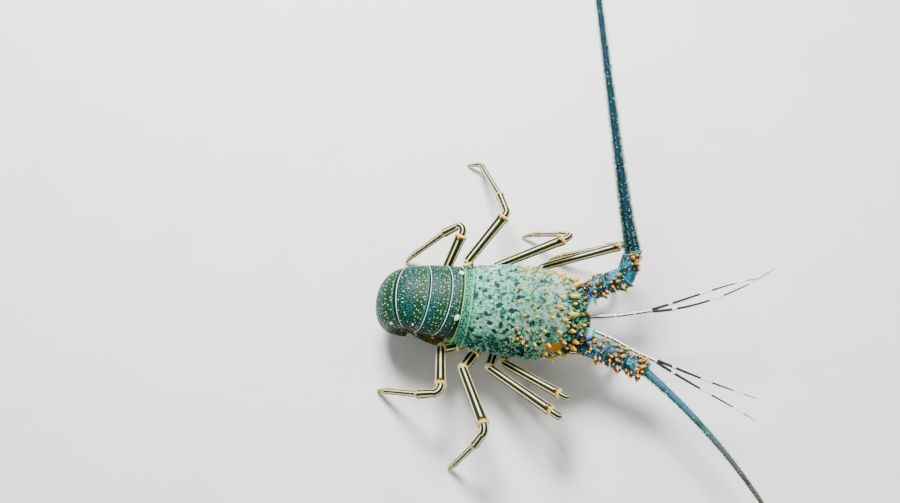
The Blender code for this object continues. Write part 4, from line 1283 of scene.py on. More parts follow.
@dataclass(frozen=True)
class Abdomen:
    """The six plates of the abdomen on a line that runs back and curls under.

    An edge is where a plate ends along that line and how far its sides sweep back there, and a blotch
    is its share along the plate, its key round it and its radius.
    """

    start: Pair = (-0.5, 50.0)
    straight: float = 38.5
    curl_radius: float = 18.0
    half_width: Pair = (29.5, 19.0)
    height: Pair = (18.5, 11.0)
    depth: Pair = (9.5, 6.5)
    pleura_depth: Pair = (13.0, 9.0)
    edges: Table = (
        (-2.0, 7.0), (8.3, 10.0), (25.3, 7.5), (46.3, -1.5), (61.5, -1.0), (76.2, -0.5), (90.3, 0.0),
    )
    tucked: float = 1.2
    lip: float = 0.5
    blotches: Table = (
        (0.3, 2.75, 1.5), (0.5, 4.8, 0.01), (0.5, 4.7, 1.1),
        (0.5, 4.7, 1.1), (0.5, 4.8, 0.01), (0.5, 4.8, 0.01),
    )
    pleura_shares: Table = (
        (0, 0.35), (0.25, 0.5), (0.5, 0.8), (0.68, 1.03), (0.78, 1.0), (0.9, 0.62), (1, 0.35),
    )
    swells: Table = (
        (0, -1.5), (0.06, -0.6), (0.13, 0.15), (0.16, -0.15),
        (0.2, 0.05), (0.65, 0.12), (0.93, 0.16), (1, 0.1),
    )
    tooth_lengths: Pair = (4.4, 3.0)
    rows: int = 60
    arch: int = 37
    flank: int = 30

    def line(self, run: Array) -> tuple[Array, Array, Array]:
        """The middle line: straight back, then an arc that turns down and forward.

        Args:
            run: Distance along the line.

        Returns:
            X, Z and heading there.
        """
        heading = np.maximum(run - self.straight, 0.0) / self.curl_radius
        x = self.start[0] - np.minimum(run, self.straight) - self.curl_radius * np.sin(heading)
        return x, self.start[1] - self.curl_radius * (1.0 - np.cos(heading)), heading

    def section_table(self) -> Array:
        """The half outline: an arch of seven points, then side plate and belly.

        Returns:
            Rows of key, turn, share of half width, inset, shares of height, side plate and depth, rise.
        """
        rows = [
            (k, 15.0 * k, math.sin(math.pi * k / 12), 0.0, math.cos(math.pi * k / 12), 0.0, 0.0, 0.0)
            for k in range(7)
        ]
        rows += [
            (7, 105.0, 1.0, -0.8, 0.0, -0.55, 0.0, 0.0),
            (8, 115.0, 1.0, -2.4, 0.0, -1.0, 0.0, 0.0),
            (9, 111.0, 1.0, -4.6, 0.0, 0.0, -1.0, -0.5),
            (10, 85.0, 0.5, 0.0, 0.0, 0.0, -1.0, 0.0),
            (11, 75.0, 0.0, 0.0, 0.0, 0.0, -1.0, 1.5),
        ]
        return np.array(rows)

    def section(self, run: Array, key: Array, reach: Array, pleura: Array, swell: Array) -> Array:
        """Points of the half outline: an arch, a side plate below it and the belly.

        Args:
            run: Distance along the middle line.
            key: Key into the outline, 0 on the crest, 6 at the side, 8 at the side plate's tip, 11 below.
            reach: How far the sides sweep back there.
            pleura: Share of the side plate's full depth.
            swell: How far the shell stands out.

        Returns:
            The points on the left side.
        """
        turn, wide, inset, high, drop, deep, rise = np.moveaxis(eased(self.section_table(), key), -1, 0)
        t = np.clip(run / self.edges[-1][0], 0.0, 1.0)
        half_width = mix(self.half_width, t**1.6) + swell
        height = mix(self.height, t**1.2) + swell
        depth = mix(self.depth, t)
        low = depth + (mix(self.pleura_depth, t) - depth) * pleura
        across = wide * half_width + inset
        above = high * height + drop * low + deep * depth + rise
        x, z, heading = self.line(run + reach * (1.0 - np.cos(np.radians(turn))))
        return np.stack((x - np.sin(heading) * above, across, z + np.cos(heading) * above), axis=-1)

    def plate_shares(self) -> tuple[Array, ...]:
        """How a plate's rows run: over its length, then round its lip and back inside.

        Returns:
            Share along, depth of the side plate, swell and lip of each row.
        """
        share = np.linspace(0.0, 1.0, self.rows)
        curves = [eased(table, share)[:, 0] for table in (self.pleura_shares, self.swells)]
        body = np.column_stack((share, *curves, np.zeros(self.rows)))
        ends = ((1.0, 0.3, 0.0, 1.0), (1.0, 0.3, -0.6, 1.0), (0.97, 0.3, -1.4, 0.0))
        return tuple(np.concatenate((body, ends)).T)

    def plate(self, number: int) -> Surface:
        """One plate: front edge tucked under the plate before it, rear edge a rounded lip over the next.

        Args:
            number: Which plate, from 1 in front.

        Returns:
            The surface with the marks share, front and edge along it, turn and blotch and its chart.
        """
        (first, first_reach), (last, last_reach) = self.edges[number - 1], self.edges[number]
        first = first - (self.tucked if number > 1 else 0.0)
        share, pleura, swell, lip = (values[:, None] for values in self.plate_shares())
        run = first + (last - first) * share + lip * self.lip
        reach = first_reach + (last_reach - first_reach) * share
        key = np.concatenate((np.linspace(0, 6, self.arch), np.linspace(6, 11, self.flank)[1:]))[None, :]
        half = self.section(run, key, reach, pleura, swell)
        points = np.concatenate((half, half[:, -2:0:-1] * (1.0, -1.0, 1.0)), axis=1)
        keys = np.concatenate((key, key[:, -2:0:-1]), axis=1)
        girth = run_along(half[self.rows // 2])
        at_share, at_key, radius = self.blotches[number - 1]
        away = np.hypot((share - at_share) * (last - first), (keys - at_key) * girth[-1] / 16.0)
        marks = {
            "share": share,
            "front": run - first,
            "edge": last + self.lip - run,
            "turn": keys / 12.0,
            "blotch": np.clip(1.0 - away / (2 * radius), 0.0, 1.0),
            "u": run,
            "v": np.concatenate((girth, -girth[-2:0:-1]))[None, :],
        }
        return skin(points, marks)

    def pleura_teeth(self) -> Surface:
        """A tooth at the tip of each side plate, drawn back and down.

        Returns:
            The twelve teeth.
        """
        run, reach = np.array([
            (mix((a[0], b[0]), 0.72), mix((a[1], b[1]), 0.72)) for a, b in zip(self.edges, self.edges[1:])
        ]).T
        ones = np.ones(len(run))
        tip = self.section(run, ones * 8.0, reach, ones, ones * 0.4)
        above = self.section(run, ones * 7.0, reach, ones, ones * 0.4)
        behind = self.section(run + 1.0, ones * 8.0, reach, ones, ones * 0.4)
        down, back = unit(tip - above), unit(behind - tip)
        lengths = np.linspace(*self.tooth_lengths, len(run))
        sets = [[rows * side.flip for rows in (tip - down, down, back)] for side in Side]
        return joined([spikes(*rows, lengths, lengths * 0.42, lean=0.7) for rows in sets])

    def swimmerets(self) -> Surface:
        """Leaf-shaped swimmerets in two rows on the belly, thin lenses that lie back along it.

        Returns:
            The eight leaves.
        """
        made = []
        share = np.linspace(0.02, 0.98, 16)[:, None]
        angle = around(20)
        for first, last in zip(self.edges[1:5], self.edges[2:6]):
            begin, length = mix((first[0], last[0]), 0.35), 0.85 * (last[0] - first[0])
            for side in Side:
                half = 3.6 * np.sin(math.pi * share) ** 0.6
                across = side.value * (8.5 + 2.0 * share) + half * np.cos(angle)
                run = begin + length * share
                t = np.clip(run / self.edges[-1][0], 0, 1)
                below = -mix(self.depth, t) - 0.6 - 1.8 * share + 0.35 * np.sin(angle)
                x, z, heading = self.line(run + 0.0 * angle)
                points = np.stack((x - np.sin(heading) * below, across, z + np.cos(heading) * below), axis=-1)
                made.append(skin(points, {"share": share}))
        return joined(made)

    def pieces(self) -> list[Piece]:
        """Plates, side teeth and swimmerets.

        Returns:
            The pieces.
        """
        nodes = tuple(f"abdomen_{n}" for n in range(1, 7))
        made = [
            Piece(f"abdomen_plate_{n}", self.plate(n), ABDOMEN_SHELL, (f"abdomen_{n}",), Slot.ABDOMEN)
            for n in range(1, 7)
        ]
        made.append(Piece("abdomen_teeth", self.pleura_teeth(), HORNY_SPINE, nodes, Slot.ABDOMEN))
        made.append(Piece("abdomen_swimmerets", self.swimmerets(), FAN_SHELL, nodes[1:5], Slot.ABDOMEN))
        return made


# Tail fan


@dataclass(frozen=True)
class TailFan:
    """Telson and the two blades on each side of it, folded under the thorax.

    A blade's post is its name, its turn in degrees, how far out it starts and its rise.
    """

    abdomen: Abdomen
    telson_length: float = 34.0
    blade_length: float = 32.0
    thickness: float = 1.2
    telson_rise: float = 3.2
    blade_posts: tuple[tuple[str, float, float, float], ...] = (
        ("inner", 4.0, 8.5, 1.5), ("outer", 7.0, 11.5, -0.2),
    )
    gap: float = 0.3
    telson: Table = ((0.0, 7.5), (0.12, 8.2), (0.5, 9.2), (0.85, 9.6), (0.97, 7.8), (1.0, 5.0))
    blade: Table = ((0.0, 3.2), (0.18, 5.4), (0.45, 7.2), (0.75, 7.8), (0.93, 6.2), (1.0, 3.6))
    rib_spacing: float = 1.5

    def place(self, along: Array, across: Array, rise: Array) -> Array:
        """Points of the fan's own plane put in the animal's frame.

        Args:
            along: Distance from the last plate's edge.
            across: Distance to the left.
            rise: Distance off the plane.

        Returns:
            The points.
        """
        x, z, heading = self.abdomen.line(np.array(self.abdomen.edges[-1][0]))
        ahead = along + self.gap / 2
        ahead, across, rise = np.broadcast_arrays(ahead, across, rise)
        return np.stack((
            x - np.cos(heading) * ahead - np.sin(heading) * rise,
            across,
            z - np.sin(heading) * ahead + np.cos(heading) * rise,
        ), axis=-1)

    def one_blade(self, length: float, outline: Any, root: Pair, turn: float, rise: float) -> Surface:
        """A blade: a flat lens section swept along an outline, with fine ribs across its width.

        Args:
            length: Length of the blade.
            outline: Rows of share along and half width.
            root: Where it starts, along and across.
            turn: Angle that it is spread by.
            rise: Height off the fan's plane.

        Returns:
            The surface with the mark share along it.
        """
        share = np.linspace(0.0, 1.0, 40)[:, None]
        angle = around(44)
        half_width = eased(outline, share[:, 0])
        across = half_width * np.cos(angle)
        rib = 1.0 + 0.22 * np.cos(across * 2 * math.pi / self.rib_spacing) * step(share, 0.25, 0.5)
        above = self.thickness * (0.5 - 0.14 * share) * blunted(np.sin(angle), 0.6) * rib
        run = length * share
        along = root[0] + run * math.cos(turn) - across * math.sin(turn)
        beside = root[1] + run * math.sin(turn) + across * math.cos(turn)
        return skin(self.place(np.maximum(along, 0.0), beside, rise + above), {"share": share})

    def pieces(self) -> list[Piece]:
        """Telson and blades.

        Returns:
            The pieces.
        """
        telson = self.one_blade(self.telson_length, self.telson, (0.0, 0.0), 0.0, self.telson_rise)
        made = [Piece("fan_telson", telson, FAN_SHELL, ("telson",), Slot.ABDOMEN)]
        for side in Side:
            for word, turn, out, rise in self.blade_posts:
                angle = math.radians(turn) * side.value
                blade = self.one_blade(self.blade_length, self.blade, (0.8, out * side.value), angle, rise)
                node = f"uropod_{side.word}_{word}"
                made.append(Piece(f"fan_{side.word}_{word}", blade, FAN_SHELL, (node,), Slot.ABDOMEN))
        return made


# Underside


@dataclass(frozen=True)
class Sternum:
    """The wedge-shaped plate under the thorax."""

    x: Pair = (-1.0, 66.0)
    half_width: Pair = (22.5, 9.5)
    z: tuple[float, float, float] = (11.5, 19.0, 27.0)
    keel: float = 3.0
    ridges: int = 5
    ridge: float = 0.7

    def half_at(self, x: float) -> float:
        """Half width at a place ahead of the carapace's rear edge."""
        return mix(self.half_width, (x - self.x[0]) / (self.x[1] - self.x[0]))

    def plate(self) -> Surface:
        """A wedge of squared-off section with a shallow keel below and a furrow between each pair of hips.

        Returns:
            The surface.
        """
        share = np.linspace(0.0, 1.0, 90)[:, None]
        angle = around(80)
        box, rise = blunted(np.cos(angle), 0.5), blunted(np.sin(angle), 0.5)
        bottom, middle, top = self.z
        ridges = self.ridge * np.cos(2 * math.pi * self.ridges * share) * (np.abs(box) > 0)
        low = bottom + self.keel * np.abs(box) + ridges
        z = np.where(rise < 0, mix((middle, low), -rise), mix((middle, top), rise))
        x = mix(self.x, share) + 0.0 * angle
        return skin(np.stack((x, mix(self.half_width, share) * box, z), axis=-1))

    def pieces(self) -> list[Piece]:
        """The plate."""
        return [Piece("sternum_skin", self.plate(), SHADED_STERNUM_SHELL, ("sternum",), Slot.LEG)]


# Legs


@dataclass(frozen=True)
class LegPose:
    """Places of a leg from hip to toe, the arc round its bend, and its ways along merus and lower leg."""

    hip: Array
    coxa_end: Array
    root: Array
    knee: Array
    arc: Array
    wrist: Array
    ankle: Array
    toe: Array
    way: Array
    fall: Array


@dataclass(frozen=True)
class Leg:
    """A walking leg posed by four points; each article has a radius and a profile of shares of it."""

    side: Side
    number: int
    merus_root: Place
    knee: Place
    ankle: Place
    toe: Place
    hip_x: float
    girth: float
    hip_z: float = 19.0
    sternum: Sternum = Sternum()
    coxa: float = 5.1
    ischium: float = 4.5
    merus: float = 4.3
    knee_radius: float = 5.1
    carpus: float = 3.4
    elbow: float = 4.5
    propodus: float = 2.5
    dactyl: float = 1.9
    wrist_share: float = 0.3
    wrist_bow: float = 1.5
    sides: int = 30
    brush: int = 260
    brush_split: float = 0.35
    brush_width: float = 0.11
    knee_spine: float = 3.4
    coxa_profile: Table = ((0, 0.85), (0.2, 1.0), (0.7, 0.97), (0.86, 1.03), (0.95, 0.98), (1, 0.72))
    ischium_profile: Table = (
        (0, 0.7), (0.1, 0.9), (0.35, 1.0), (0.8, 0.97), (0.92, 1.04), (0.97, 0.98), (1, 0.7),
    )
    merus_profile: Table = (
        (0, 0.7), (0.02, 0.84), (0.12, 0.92), (0.6, 1.0), (0.9, 1.08), (0.965, 1.2), (0.99, 1.15), (1, 0.95),
    )
    carpus_profile: Table = (
        (0, 0.8), (0.06, 0.95), (0.5, 0.94), (0.8, 1.0), (0.93, 1.06), (0.97, 0.98), (1, 0.7),
    )
    propodus_profile: Table = (
        (0, 0.75), (0.03, 0.9), (0.1, 1.0), (0.85, 0.92), (0.96, 1.0), (0.985, 0.92), (1, 0.6),
    )
    dactyl_profile: Table = ((0, 0.8), (0.1, 1.0), (0.5, 0.84), (0.8, 0.6), (0.95, 0.4), (1, 0.14))

    @functools.cached_property
    def pose(self) -> LegPose:
        """The leg's places and directions; the bend is an arc in the plane of merus and lower leg.

        Returns:
            The pose.
        """
        root, knee, ankle, toe = (np.array(p) for p in (self.merus_root, self.knee, self.ankle, self.toe))
        hip = np.array((self.hip_x, self.side.value * (self.sternum.half_at(self.hip_x) - 2.0), self.hip_z))
        coxa_end = mix((hip, np.array((root[0], root[1], self.hip_z + 1.5))), 0.45)
        way, slope = unit(knee - root), unit(ankle - knee)
        bend = square_to(slope, way)
        radius = self.elbow * self.girth
        middle = knee + way * 0.3 + bend * radius
        angle = np.linspace(0.0, math.acos(float(np.clip(dot(way, slope)[0], -1, 1))), 9)[:, None]
        arc = middle + (way * np.sin(angle) - bend * np.cos(angle)) * radius
        fall = unit(ankle - arc[-1])
        wrist = mix((arc[-1], ankle), self.wrist_share) + square_to(way, fall) * self.wrist_bow
        return LegPose(hip, coxa_end, root, knee, arc, wrist, ankle, toe, way, fall)

    def article(self, path: Array, radius: float, profile: Table) -> Surface:
        """A jointed length of the leg: a tube along a path, whose radius follows a profile."""
        radii = radius * self.girth * eased(profile, np.linspace(0.0, 1.0, len(path)))[:, 0]
        return tube(path, radii, np.cross(UP, np.gradient(path, axis=0)), self.sides, 0.96)

    def upper(self) -> list[Surface]:
        """Coxa, ischium and merus, each with a swollen rim at its far end.

        Returns:
            The three tubes.
        """
        j = self.pose
        return [
            self.article(straight(j.hip, j.coxa_end, 26), self.coxa, self.coxa_profile),
            self.article(straight(j.coxa_end, j.root, 30), self.ischium, self.ischium_profile),
            self.article(straight(j.root, j.knee, 64), self.merus, self.merus_profile),
        ]

    def lower(self) -> list[Surface]:
        """Carpus round the bend, propodus and the curved dactyl down to its tip on the floor.

        Returns:
            The three tubes.
        """
        j = self.pose
        carpus = smooth_path(np.vstack((j.arc[0] - j.way * 1.2, j.arc, j.wrist - j.fall * 2.5, j.wrist)), 48)
        tip = j.toe + UP * 0.45 + unit(j.ankle - j.toe) * 0.4
        claw = straight(j.ankle, tip, 30) + UP * (0.8 * np.sin(np.linspace(0.0, math.pi, 30)))[:, None]
        return [
            self.article(carpus, self.carpus, self.carpus_profile),
            self.article(straight(j.wrist - j.fall * 0.6, j.ankle, 56), self.propodus, self.propodus_profile),
            self.article(claw, self.dactyl, self.dactyl_profile),
        ]

    def bristles(self) -> Surface:
        """The brush of stiff bristles on the end of the propodus, up to the split, and on the dactyl.

        Returns:
            The bristles that stay clear of the floor.
        """
        rng = np.random.default_rng(self.number * 7 + (1 if self.side is Side.LEFT else 2))
        j, split = self.pose, self.brush_split
        run = rng.random(self.brush)
        at, above = run[:, None], run[:, None] < split
        near = mix((j.arc[-1], j.ankle), 0.8)
        low = j.ankle + (j.toe - j.ankle) * ((at - split) / (1.0 - split))
        path = np.where(above, near + (j.ankle - near) * (at / split), low)
        way = np.where(above, unit(j.ankle - near), unit(j.toe - j.ankle))
        out = square_to(rng.normal(0.0, 1.0, path.shape), way)
        roots = path + out * (self.girth * mix((1.9, 0.7), run))[:, None]
        length = rng.uniform(1.2, 2.4, self.brush) * mix((1.0, 0.6), run)
        tips = roots + (out + square_to(way, out) * 0.9) * length[:, None]
        clear = (np.minimum(tips, roots)[:, 2] > 0.25) & (run < 0.86)
        marks = {"tone": rng.random(self.brush)[clear]}
        patches = np.column_stack((0.05 + 0.9 * run, 0.05 + 0.9 * rng.random(self.brush)))[clear]
        width = np.full(int(clear.sum()), self.brush_width)
        return hairs(roots[clear], out[clear], way[clear], length[clear], width, marks, patches, 0.9)

    def knee_tooth(self) -> Surface:
        """The tooth on top of the knee, where the solid has its own.

        Returns:
            The tooth.
        """
        j = self.pose
        above = square_to(UP, j.way)
        root = mix((j.root, j.knee), 0.93) + above * self.knee_radius * 0.9 * self.girth
        length = np.array([self.knee_spine * self.girth])
        return spikes(root[None], above[None], j.way[None], length, np.array([self.knee_spine * 0.4]))

    def joint_balls(self) -> list[Surface]:
        """Soft skin in the joints, as short swollen tubes through each.

        Returns:
            The four tubes.
        """
        j = self.pose
        spots = (
            (j.coxa_end, unit(j.root - j.coxa_end), self.ischium * 0.86),
            (j.root, j.way, self.merus * 0.82),
            (j.wrist - j.fall * 0.5, j.fall, self.propodus * 0.94),
            (j.ankle, j.fall, self.dactyl * 0.95),
        )
        dome = np.sin(np.linspace(0.12, math.pi - 0.12, 10))
        made = []
        for place, way, radius in spots:
            radius = radius * self.girth
            path = place + way * np.linspace(-1.0, 1.0, 10)[:, None] * radius * 0.8
            made.append(tube(path, radius * dome, np.cross(way, UP + AHEAD * 0.3), 18))
        return made

    def pieces(self) -> list[Piece]:
        """Upper and lower skins, tooth, bristles and joints.

        Returns:
            The pieces.
        """
        name = f"{self.side.word}_{self.number}"
        upper, lower = f"leg_{name}_upper", f"leg_{name}_lower"
        return [
            Piece(f"{upper}_skin", joined(self.upper()), LEG_SHELL, (upper,), Slot.LEG),
            Piece(f"{lower}_skin", joined(self.lower()), LEG_SHELL, (lower,), Slot.LEG),
            Piece(f"{upper}_tooth", self.knee_tooth(), HORNY_SPINE, (upper,), Slot.LEG),
            Piece(f"{lower}_bristles", self.bristles(), LEG_BRISTLE, (lower,), Slot.LEG),
            Piece(f"leg_{name}_joints", joined(self.joint_balls()), JOINT_SKIN, (upper, lower), Slot.LEG),
        ]


def legs() -> list[Leg]:
    """The ten walking legs; a build is hip x and girth, a stance is merus root, knee, ankle and toe.

    Returns:
        The legs of the left side, then of the right.
    """
    builds = {5: (5.0, 1.0), 4: (18.0, 1.0), 3: (31.0, 0.88), 2: (44.0, 0.8), 1: (57.0, 0.84)}
    stances = {
        Side.LEFT: {
            5: ((-20.0, 30.0, 24.0), (-7.0, 60.0, 50.0), (-47.5, 56.0, 8.0), (-52.5, 52.0, 0.0)),
            4: ((-0.5, 42.5, 36.0), (26.0, 79.5, 52.0), (2.5, 150.0, 9.0), (-10.0, 152.5, 0.0)),
            3: ((22.0, 41.5, 33.5), (76.5, 62.5, 55.0), (53.5, 87.5, 9.0), (43.0, 87.5, 0.0)),
            2: ((60.0, 46.0, 32.0), (123.0, 66.0, 46.0), (78.0, 70.0, 9.0), (67.0, 68.0, 0.0)),
            1: ((70.0, 26.0, 22.0), (110.0, 40.0, 26.0), (120.0, 53.0, 7.0), (123.0, 57.0, 0.0)),
        },
        Side.RIGHT: {
            5: ((-14.5, -32.5, 29.0), (-11.0, -71.5, 48.0), (-56.5, -65.5, 7.0), (-62.5, -63.0, 0.0)),
            4: ((4.5, -49.0, 31.0), (25.0, -102.0, 55.0), (5.0, -121.0, 7.0), (1.0, -122.5, 0.0)),
            3: ((25.5, -45.5, 30.0), (76.5, -84.0, 50.0), (59.0, -57.0, 8.0), (54.5, -51.0, 0.0)),
            2: ((36.0, -39.0, 28.0), (82.0, -67.5, 46.0), (64.0, -42.5, 8.0), (60.0, -37.0, 0.0)),
            1: ((70.0, -20.5, 21.0), (112.0, -19.0, 23.5), (126.0, -13.0, 7.0), (130.0, -11.0, 0.0)),
        },
    }
    return [
        Leg(side, n, *points, *builds[n]) for side, stance in stances.items() for n, points in stance.items()
    ]


# Antennae


@dataclass(frozen=True)
class Antenna:
    """One antenna: three thick spiny articles and the long whip, which follows four control points.

    A ring of large spines is its share along the article, their turns in degrees and their size.
    """

    side: Side
    joints: tuple[Place, ...]
    whip: tuple[Place, ...]
    radii: Table = ((7.6, 8.6), (8.0, 8.8), (7.8, 7.2))
    flatten: float = 0.92
    whip_radius: float = 4.6
    whip_taper: float = 1.2
    whip_tip: float = 0.5
    ring_pitch: Pair = (2.3, 1.3)
    rings: tuple[tuple[float, tuple[float, ...], float], ...] = (
        (0.36, (30, 165), 0.75), (0.6, (75, 125, 345), 0.9), (0.78, (20, 95, 155, 205), 1.0),
    )
    spine: float = 4.6
    bend_limit: float = 0.3
    strewn: int = 34
    strewn_lengths: Pair = (1.5, 3.2)
    strewn_limit: float = 0.35
    crown: int = 9
    seed: int = 11
    fringe: int = 7000
    fringe_length: float = 3.0
    fringe_width: float = 0.12
    fringe_end: float = 0.82
    spinules: int = 420
    spinule_rows: tuple[float, ...] = (0.35, 1.1, 2.0, 2.8, 4.0, 5.3)
    spinule_lengths: Pair = (1.5, 0.6)
    swelling: Pair = (0.91, 0.07)
    knob_radii: Pair = (7.6, 7.4)
    whip_finish: Finish = FLAGELLUM_SHELL

    def ways(self) -> list[Array]:
        """Directions of the three articles and of the whip's start."""
        return [*unit(np.diff(np.array(self.joints), axis=0)), curve(self.whip, np.zeros(1))[1][0]]

    def article_frame(self, k: int) -> tuple[Array, ...]:
        """Where an article stands.

        Args:
            k: Which article, from 0 at the head.

        Returns:
            Its start and end, its direction and the level and upward vectors square to it.
        """
        start, end = np.array(self.joints[k:k + 2])
        way = self.ways()[k]
        side = unit(np.cross(UP, way))
        return start, end, way, side, np.cross(way, side)

    def crowding(self, k: int, out: Array) -> Array:
        """How far directions point along the articles before and after one, where spines would cross."""
        ways = self.ways()
        return np.maximum(out @ ways[k + 1], -(out @ ways[max(k - 1, 0)]))

    def article(self, k: int) -> Surface:
        """One article: a tube whose ends lie in the planes halfway between it and its neighbours.

        Args:
            k: Which article.

        Returns:
            The tube.
        """
        ways = self.ways()
        start, end, way, _, _ = self.article_frame(k)
        near, far = self.radii[k]
        first = start - way * 3.0 if k == 0 else start + way * 0.15
        profile = (
            (0.0, near * 0.82), (0.03, near * 0.9), (0.12, near), (0.8, far), (0.9, far),
            (0.95, far * 1.06), (0.985, far * 1.04), (1.0, far * 0.9),
        )
        radii = eased(profile, np.linspace(0.0, 1.0, 52))[:, 0]
        before = unit(ways[k - 1] + way) if k else None
        after = unit(way + ways[k + 1]) if k < 2 else ways[3]
        path = straight(first, end - way * 0.1, 52)
        return tube(path, radii, np.cross(UP, way), 44, self.flatten, (before, after))

    def main_spines(self, k: int, draw: random.Random) -> Surface:
        """An article's large spines, by the same rings and draws as the solids'.

        Args:
            k: Which article.
            draw: Source of the draws, which runs on from article to article.

        Returns:
            The spines.
        """
        start, end, way, side, above = self.article_frame(k)
        rows = []
        for share, turns, size in self.rings:
            for turn in turns:
                angle = math.radians(turn + draw.uniform(-6.0, 6.0))
                out = side * math.cos(angle) + above * math.sin(angle)
                root = mix((start, end), share) + out * mix(self.radii[k], share) * 0.96
                length = self.spine * size * draw.uniform(0.9, 1.15)
                if self.crowding(k, out) < self.bend_limit:
                    rows.append((*root, *out, length))
        found = np.array(rows)
        return spikes(found[:, :3], found[:, 3:6], way, found[:, 6], found[:, 6] * 0.4, sides=11, lean=0.35)

    def lesser_spines(self, k: int) -> Surface:
        """An article's small spines, strewn between the large ones, with a crown at the far rim.

        Args:
            k: Which article.

        Returns:
            The spines.
        """
        rng = np.random.default_rng(self.seed + k)
        start, end, way, side, above = self.article_frame(k)
        share = np.concatenate((rng.uniform(0.15, 0.88, self.strewn), np.full(self.crown, 0.9)))
        angle = np.concatenate((
            rng.uniform(-0.7, math.pi + 0.7, self.strewn), np.linspace(-0.5, math.pi + 0.5, self.crown),
        ))
        radius = mix(self.radii[k], share)[:, None]
        drawn = turned(side, above * self.flatten, angle) * radius
        roots = start + (end - start) * share[:, None] + drawn
        lengths = rng.uniform(*self.strewn_lengths, len(share))
        out = turned(side, above, angle)
        clear = self.crowding(k, out) < self.strewn_limit
        roots, out, lengths = roots[clear], out[clear], lengths[clear]
        return spikes(roots, out, way, lengths, lengths * 0.48, sides=8, lean=0.35)

    def whip_state(self, t: Array) -> tuple[Array, Array, Array, Array]:
        """How the whip runs: its radius falls from base to tip as a power of the share that is left.

        Args:
            t: Shares along the whip.

        Returns:
            Place, direction, level side vector and radius at each.
        """
        place, way = curve(self.whip, t)
        radius = self.whip_tip + (self.whip_radius - self.whip_tip) * (1.0 - t) ** self.whip_taper
        return place, way, square_to(np.cross(UP, way), way), radius

    def flagellum(self) -> Surface:
        """The whip: a tapering tube whose radius swells at the far rim of each of its many rings.

        Returns:
            The tube.
        """
        place, _, side, radius = self.whip_state(np.linspace(0.0, 0.999, 1000))
        run = run_along(place)
        pitch = mix(self.ring_pitch, run / run[-1])
        phase = np.cumsum(np.gradient(run) / pitch) % 1.0
        return tube(place, radius * (self.swelling[0] + self.swelling[1] * phase**2), side, 16)

    def fringe_coat(self) -> Surface:
        """Bristles along both flanks of the whip, longest near its base.

        Returns:
            The bristles.
        """
        rng = np.random.default_rng(self.seed + 5)
        t = rng.random(self.fringe) ** 1.5 * self.fringe_end
        place, way, side, radius = self.whip_state(t)
        sign = rng.choice((-1.0, 1.0), self.fringe)
        tilt = rng.normal(0.0, 0.45, self.fringe)
        out = side * (sign * np.cos(tilt))[:, None] + np.cross(way, side) * np.sin(tilt)[:, None]
        length = self.fringe_length * mix((1.0, 0.4), t) * rng.uniform(0.5, 1.25, self.fringe)
        width = np.full(self.fringe, self.fringe_width)
        marks = {"tone": rng.random(self.fringe)}
        patches = np.column_stack((0.02 + 0.95 * t, 0.25 + 0.5 * (sign > 0) + 0.08 * tilt))
        return hairs(place + out * radius[:, None] * 0.95, out, way, length, width, marks, patches, 0.7)

    def teeth(self) -> Surface:
        """Small pale teeth in rows along the whip.

        Returns:
            The teeth.
        """
        rng = np.random.default_rng(self.seed + 6)
        t = rng.random(self.spinules) ** 1.3 * self.fringe_end
        place, way, side, radius = self.whip_state(t)
        angle = rng.choice(self.spinule_rows, self.spinules) + rng.normal(0.0, 0.08, self.spinules)
        out = turned(side, np.cross(way, side), angle)
        length = mix(self.spinule_lengths, t) * rng.uniform(0.8, 1.2, self.spinules)
        return spikes(place + out * radius[:, None] * 0.97, out, way, length, length * 0.3, TOOTH_PROFILE, 5)

    def knobs(self) -> Surface:
        """Soft skin in the joints between the articles and under the whip.

        Returns:
            Three short domed tubes.
        """
        joints, ways = np.array(self.joints), self.ways()
        made = []
        dome = np.sin(np.linspace(0.15, math.pi - 0.15, 12))
        for k, radius in enumerate((*self.knob_radii, self.whip_radius + 1.2), 1):
            way = unit(ways[k - 1] + ways[k])
            path = joints[k] + way * np.linspace(-2.4, 2.4, 12)[:, None]
            made.append(tube(path, radius * dome, np.cross(UP, way), 30, self.flatten))
        return joined(made)

    def pieces(self) -> list[Piece]:
        """Articles with their spines, joints, whip, fringe and teeth.

        Returns:
            The pieces.
        """
        word = self.side.word
        draw = random.Random(self.seed)
        made = []
        for k in range(3):
            node = f"antenna_{word}_{k + 1}"
            made.append(Piece(f"{node}_skin", self.article(k), PEDUNCLE_SHELL, (node,), Slot.ANTENNA))
            spines = joined([self.main_spines(k, draw), self.lesser_spines(k)])
            made.append(Piece(f"{node}_spines", spines, HORNY_SPINE, (node,), Slot.ANTENNA))
        nodes = tuple(f"antenna_{word}_{k}" for k in (1, 2, 3))
        whip = (f"antenna_{word}_base", f"antenna_{word}_whip")
        made += [
            Piece(f"antenna_{word}_joints", self.knobs(), PEDUNCLE_JOINT, nodes, Slot.ANTENNA),
            Piece(f"antenna_{word}_flagellum", self.flagellum(), self.whip_finish, whip, Slot.FLAGELLUM),
            Piece(f"antenna_{word}_fringe", self.fringe_coat(), FRINGE, whip, Slot.FLAGELLUM),
            Piece(f"antenna_{word}_teeth", self.teeth(), PALE_SPINULE, whip, Slot.FLAGELLUM),
        ]
        return made


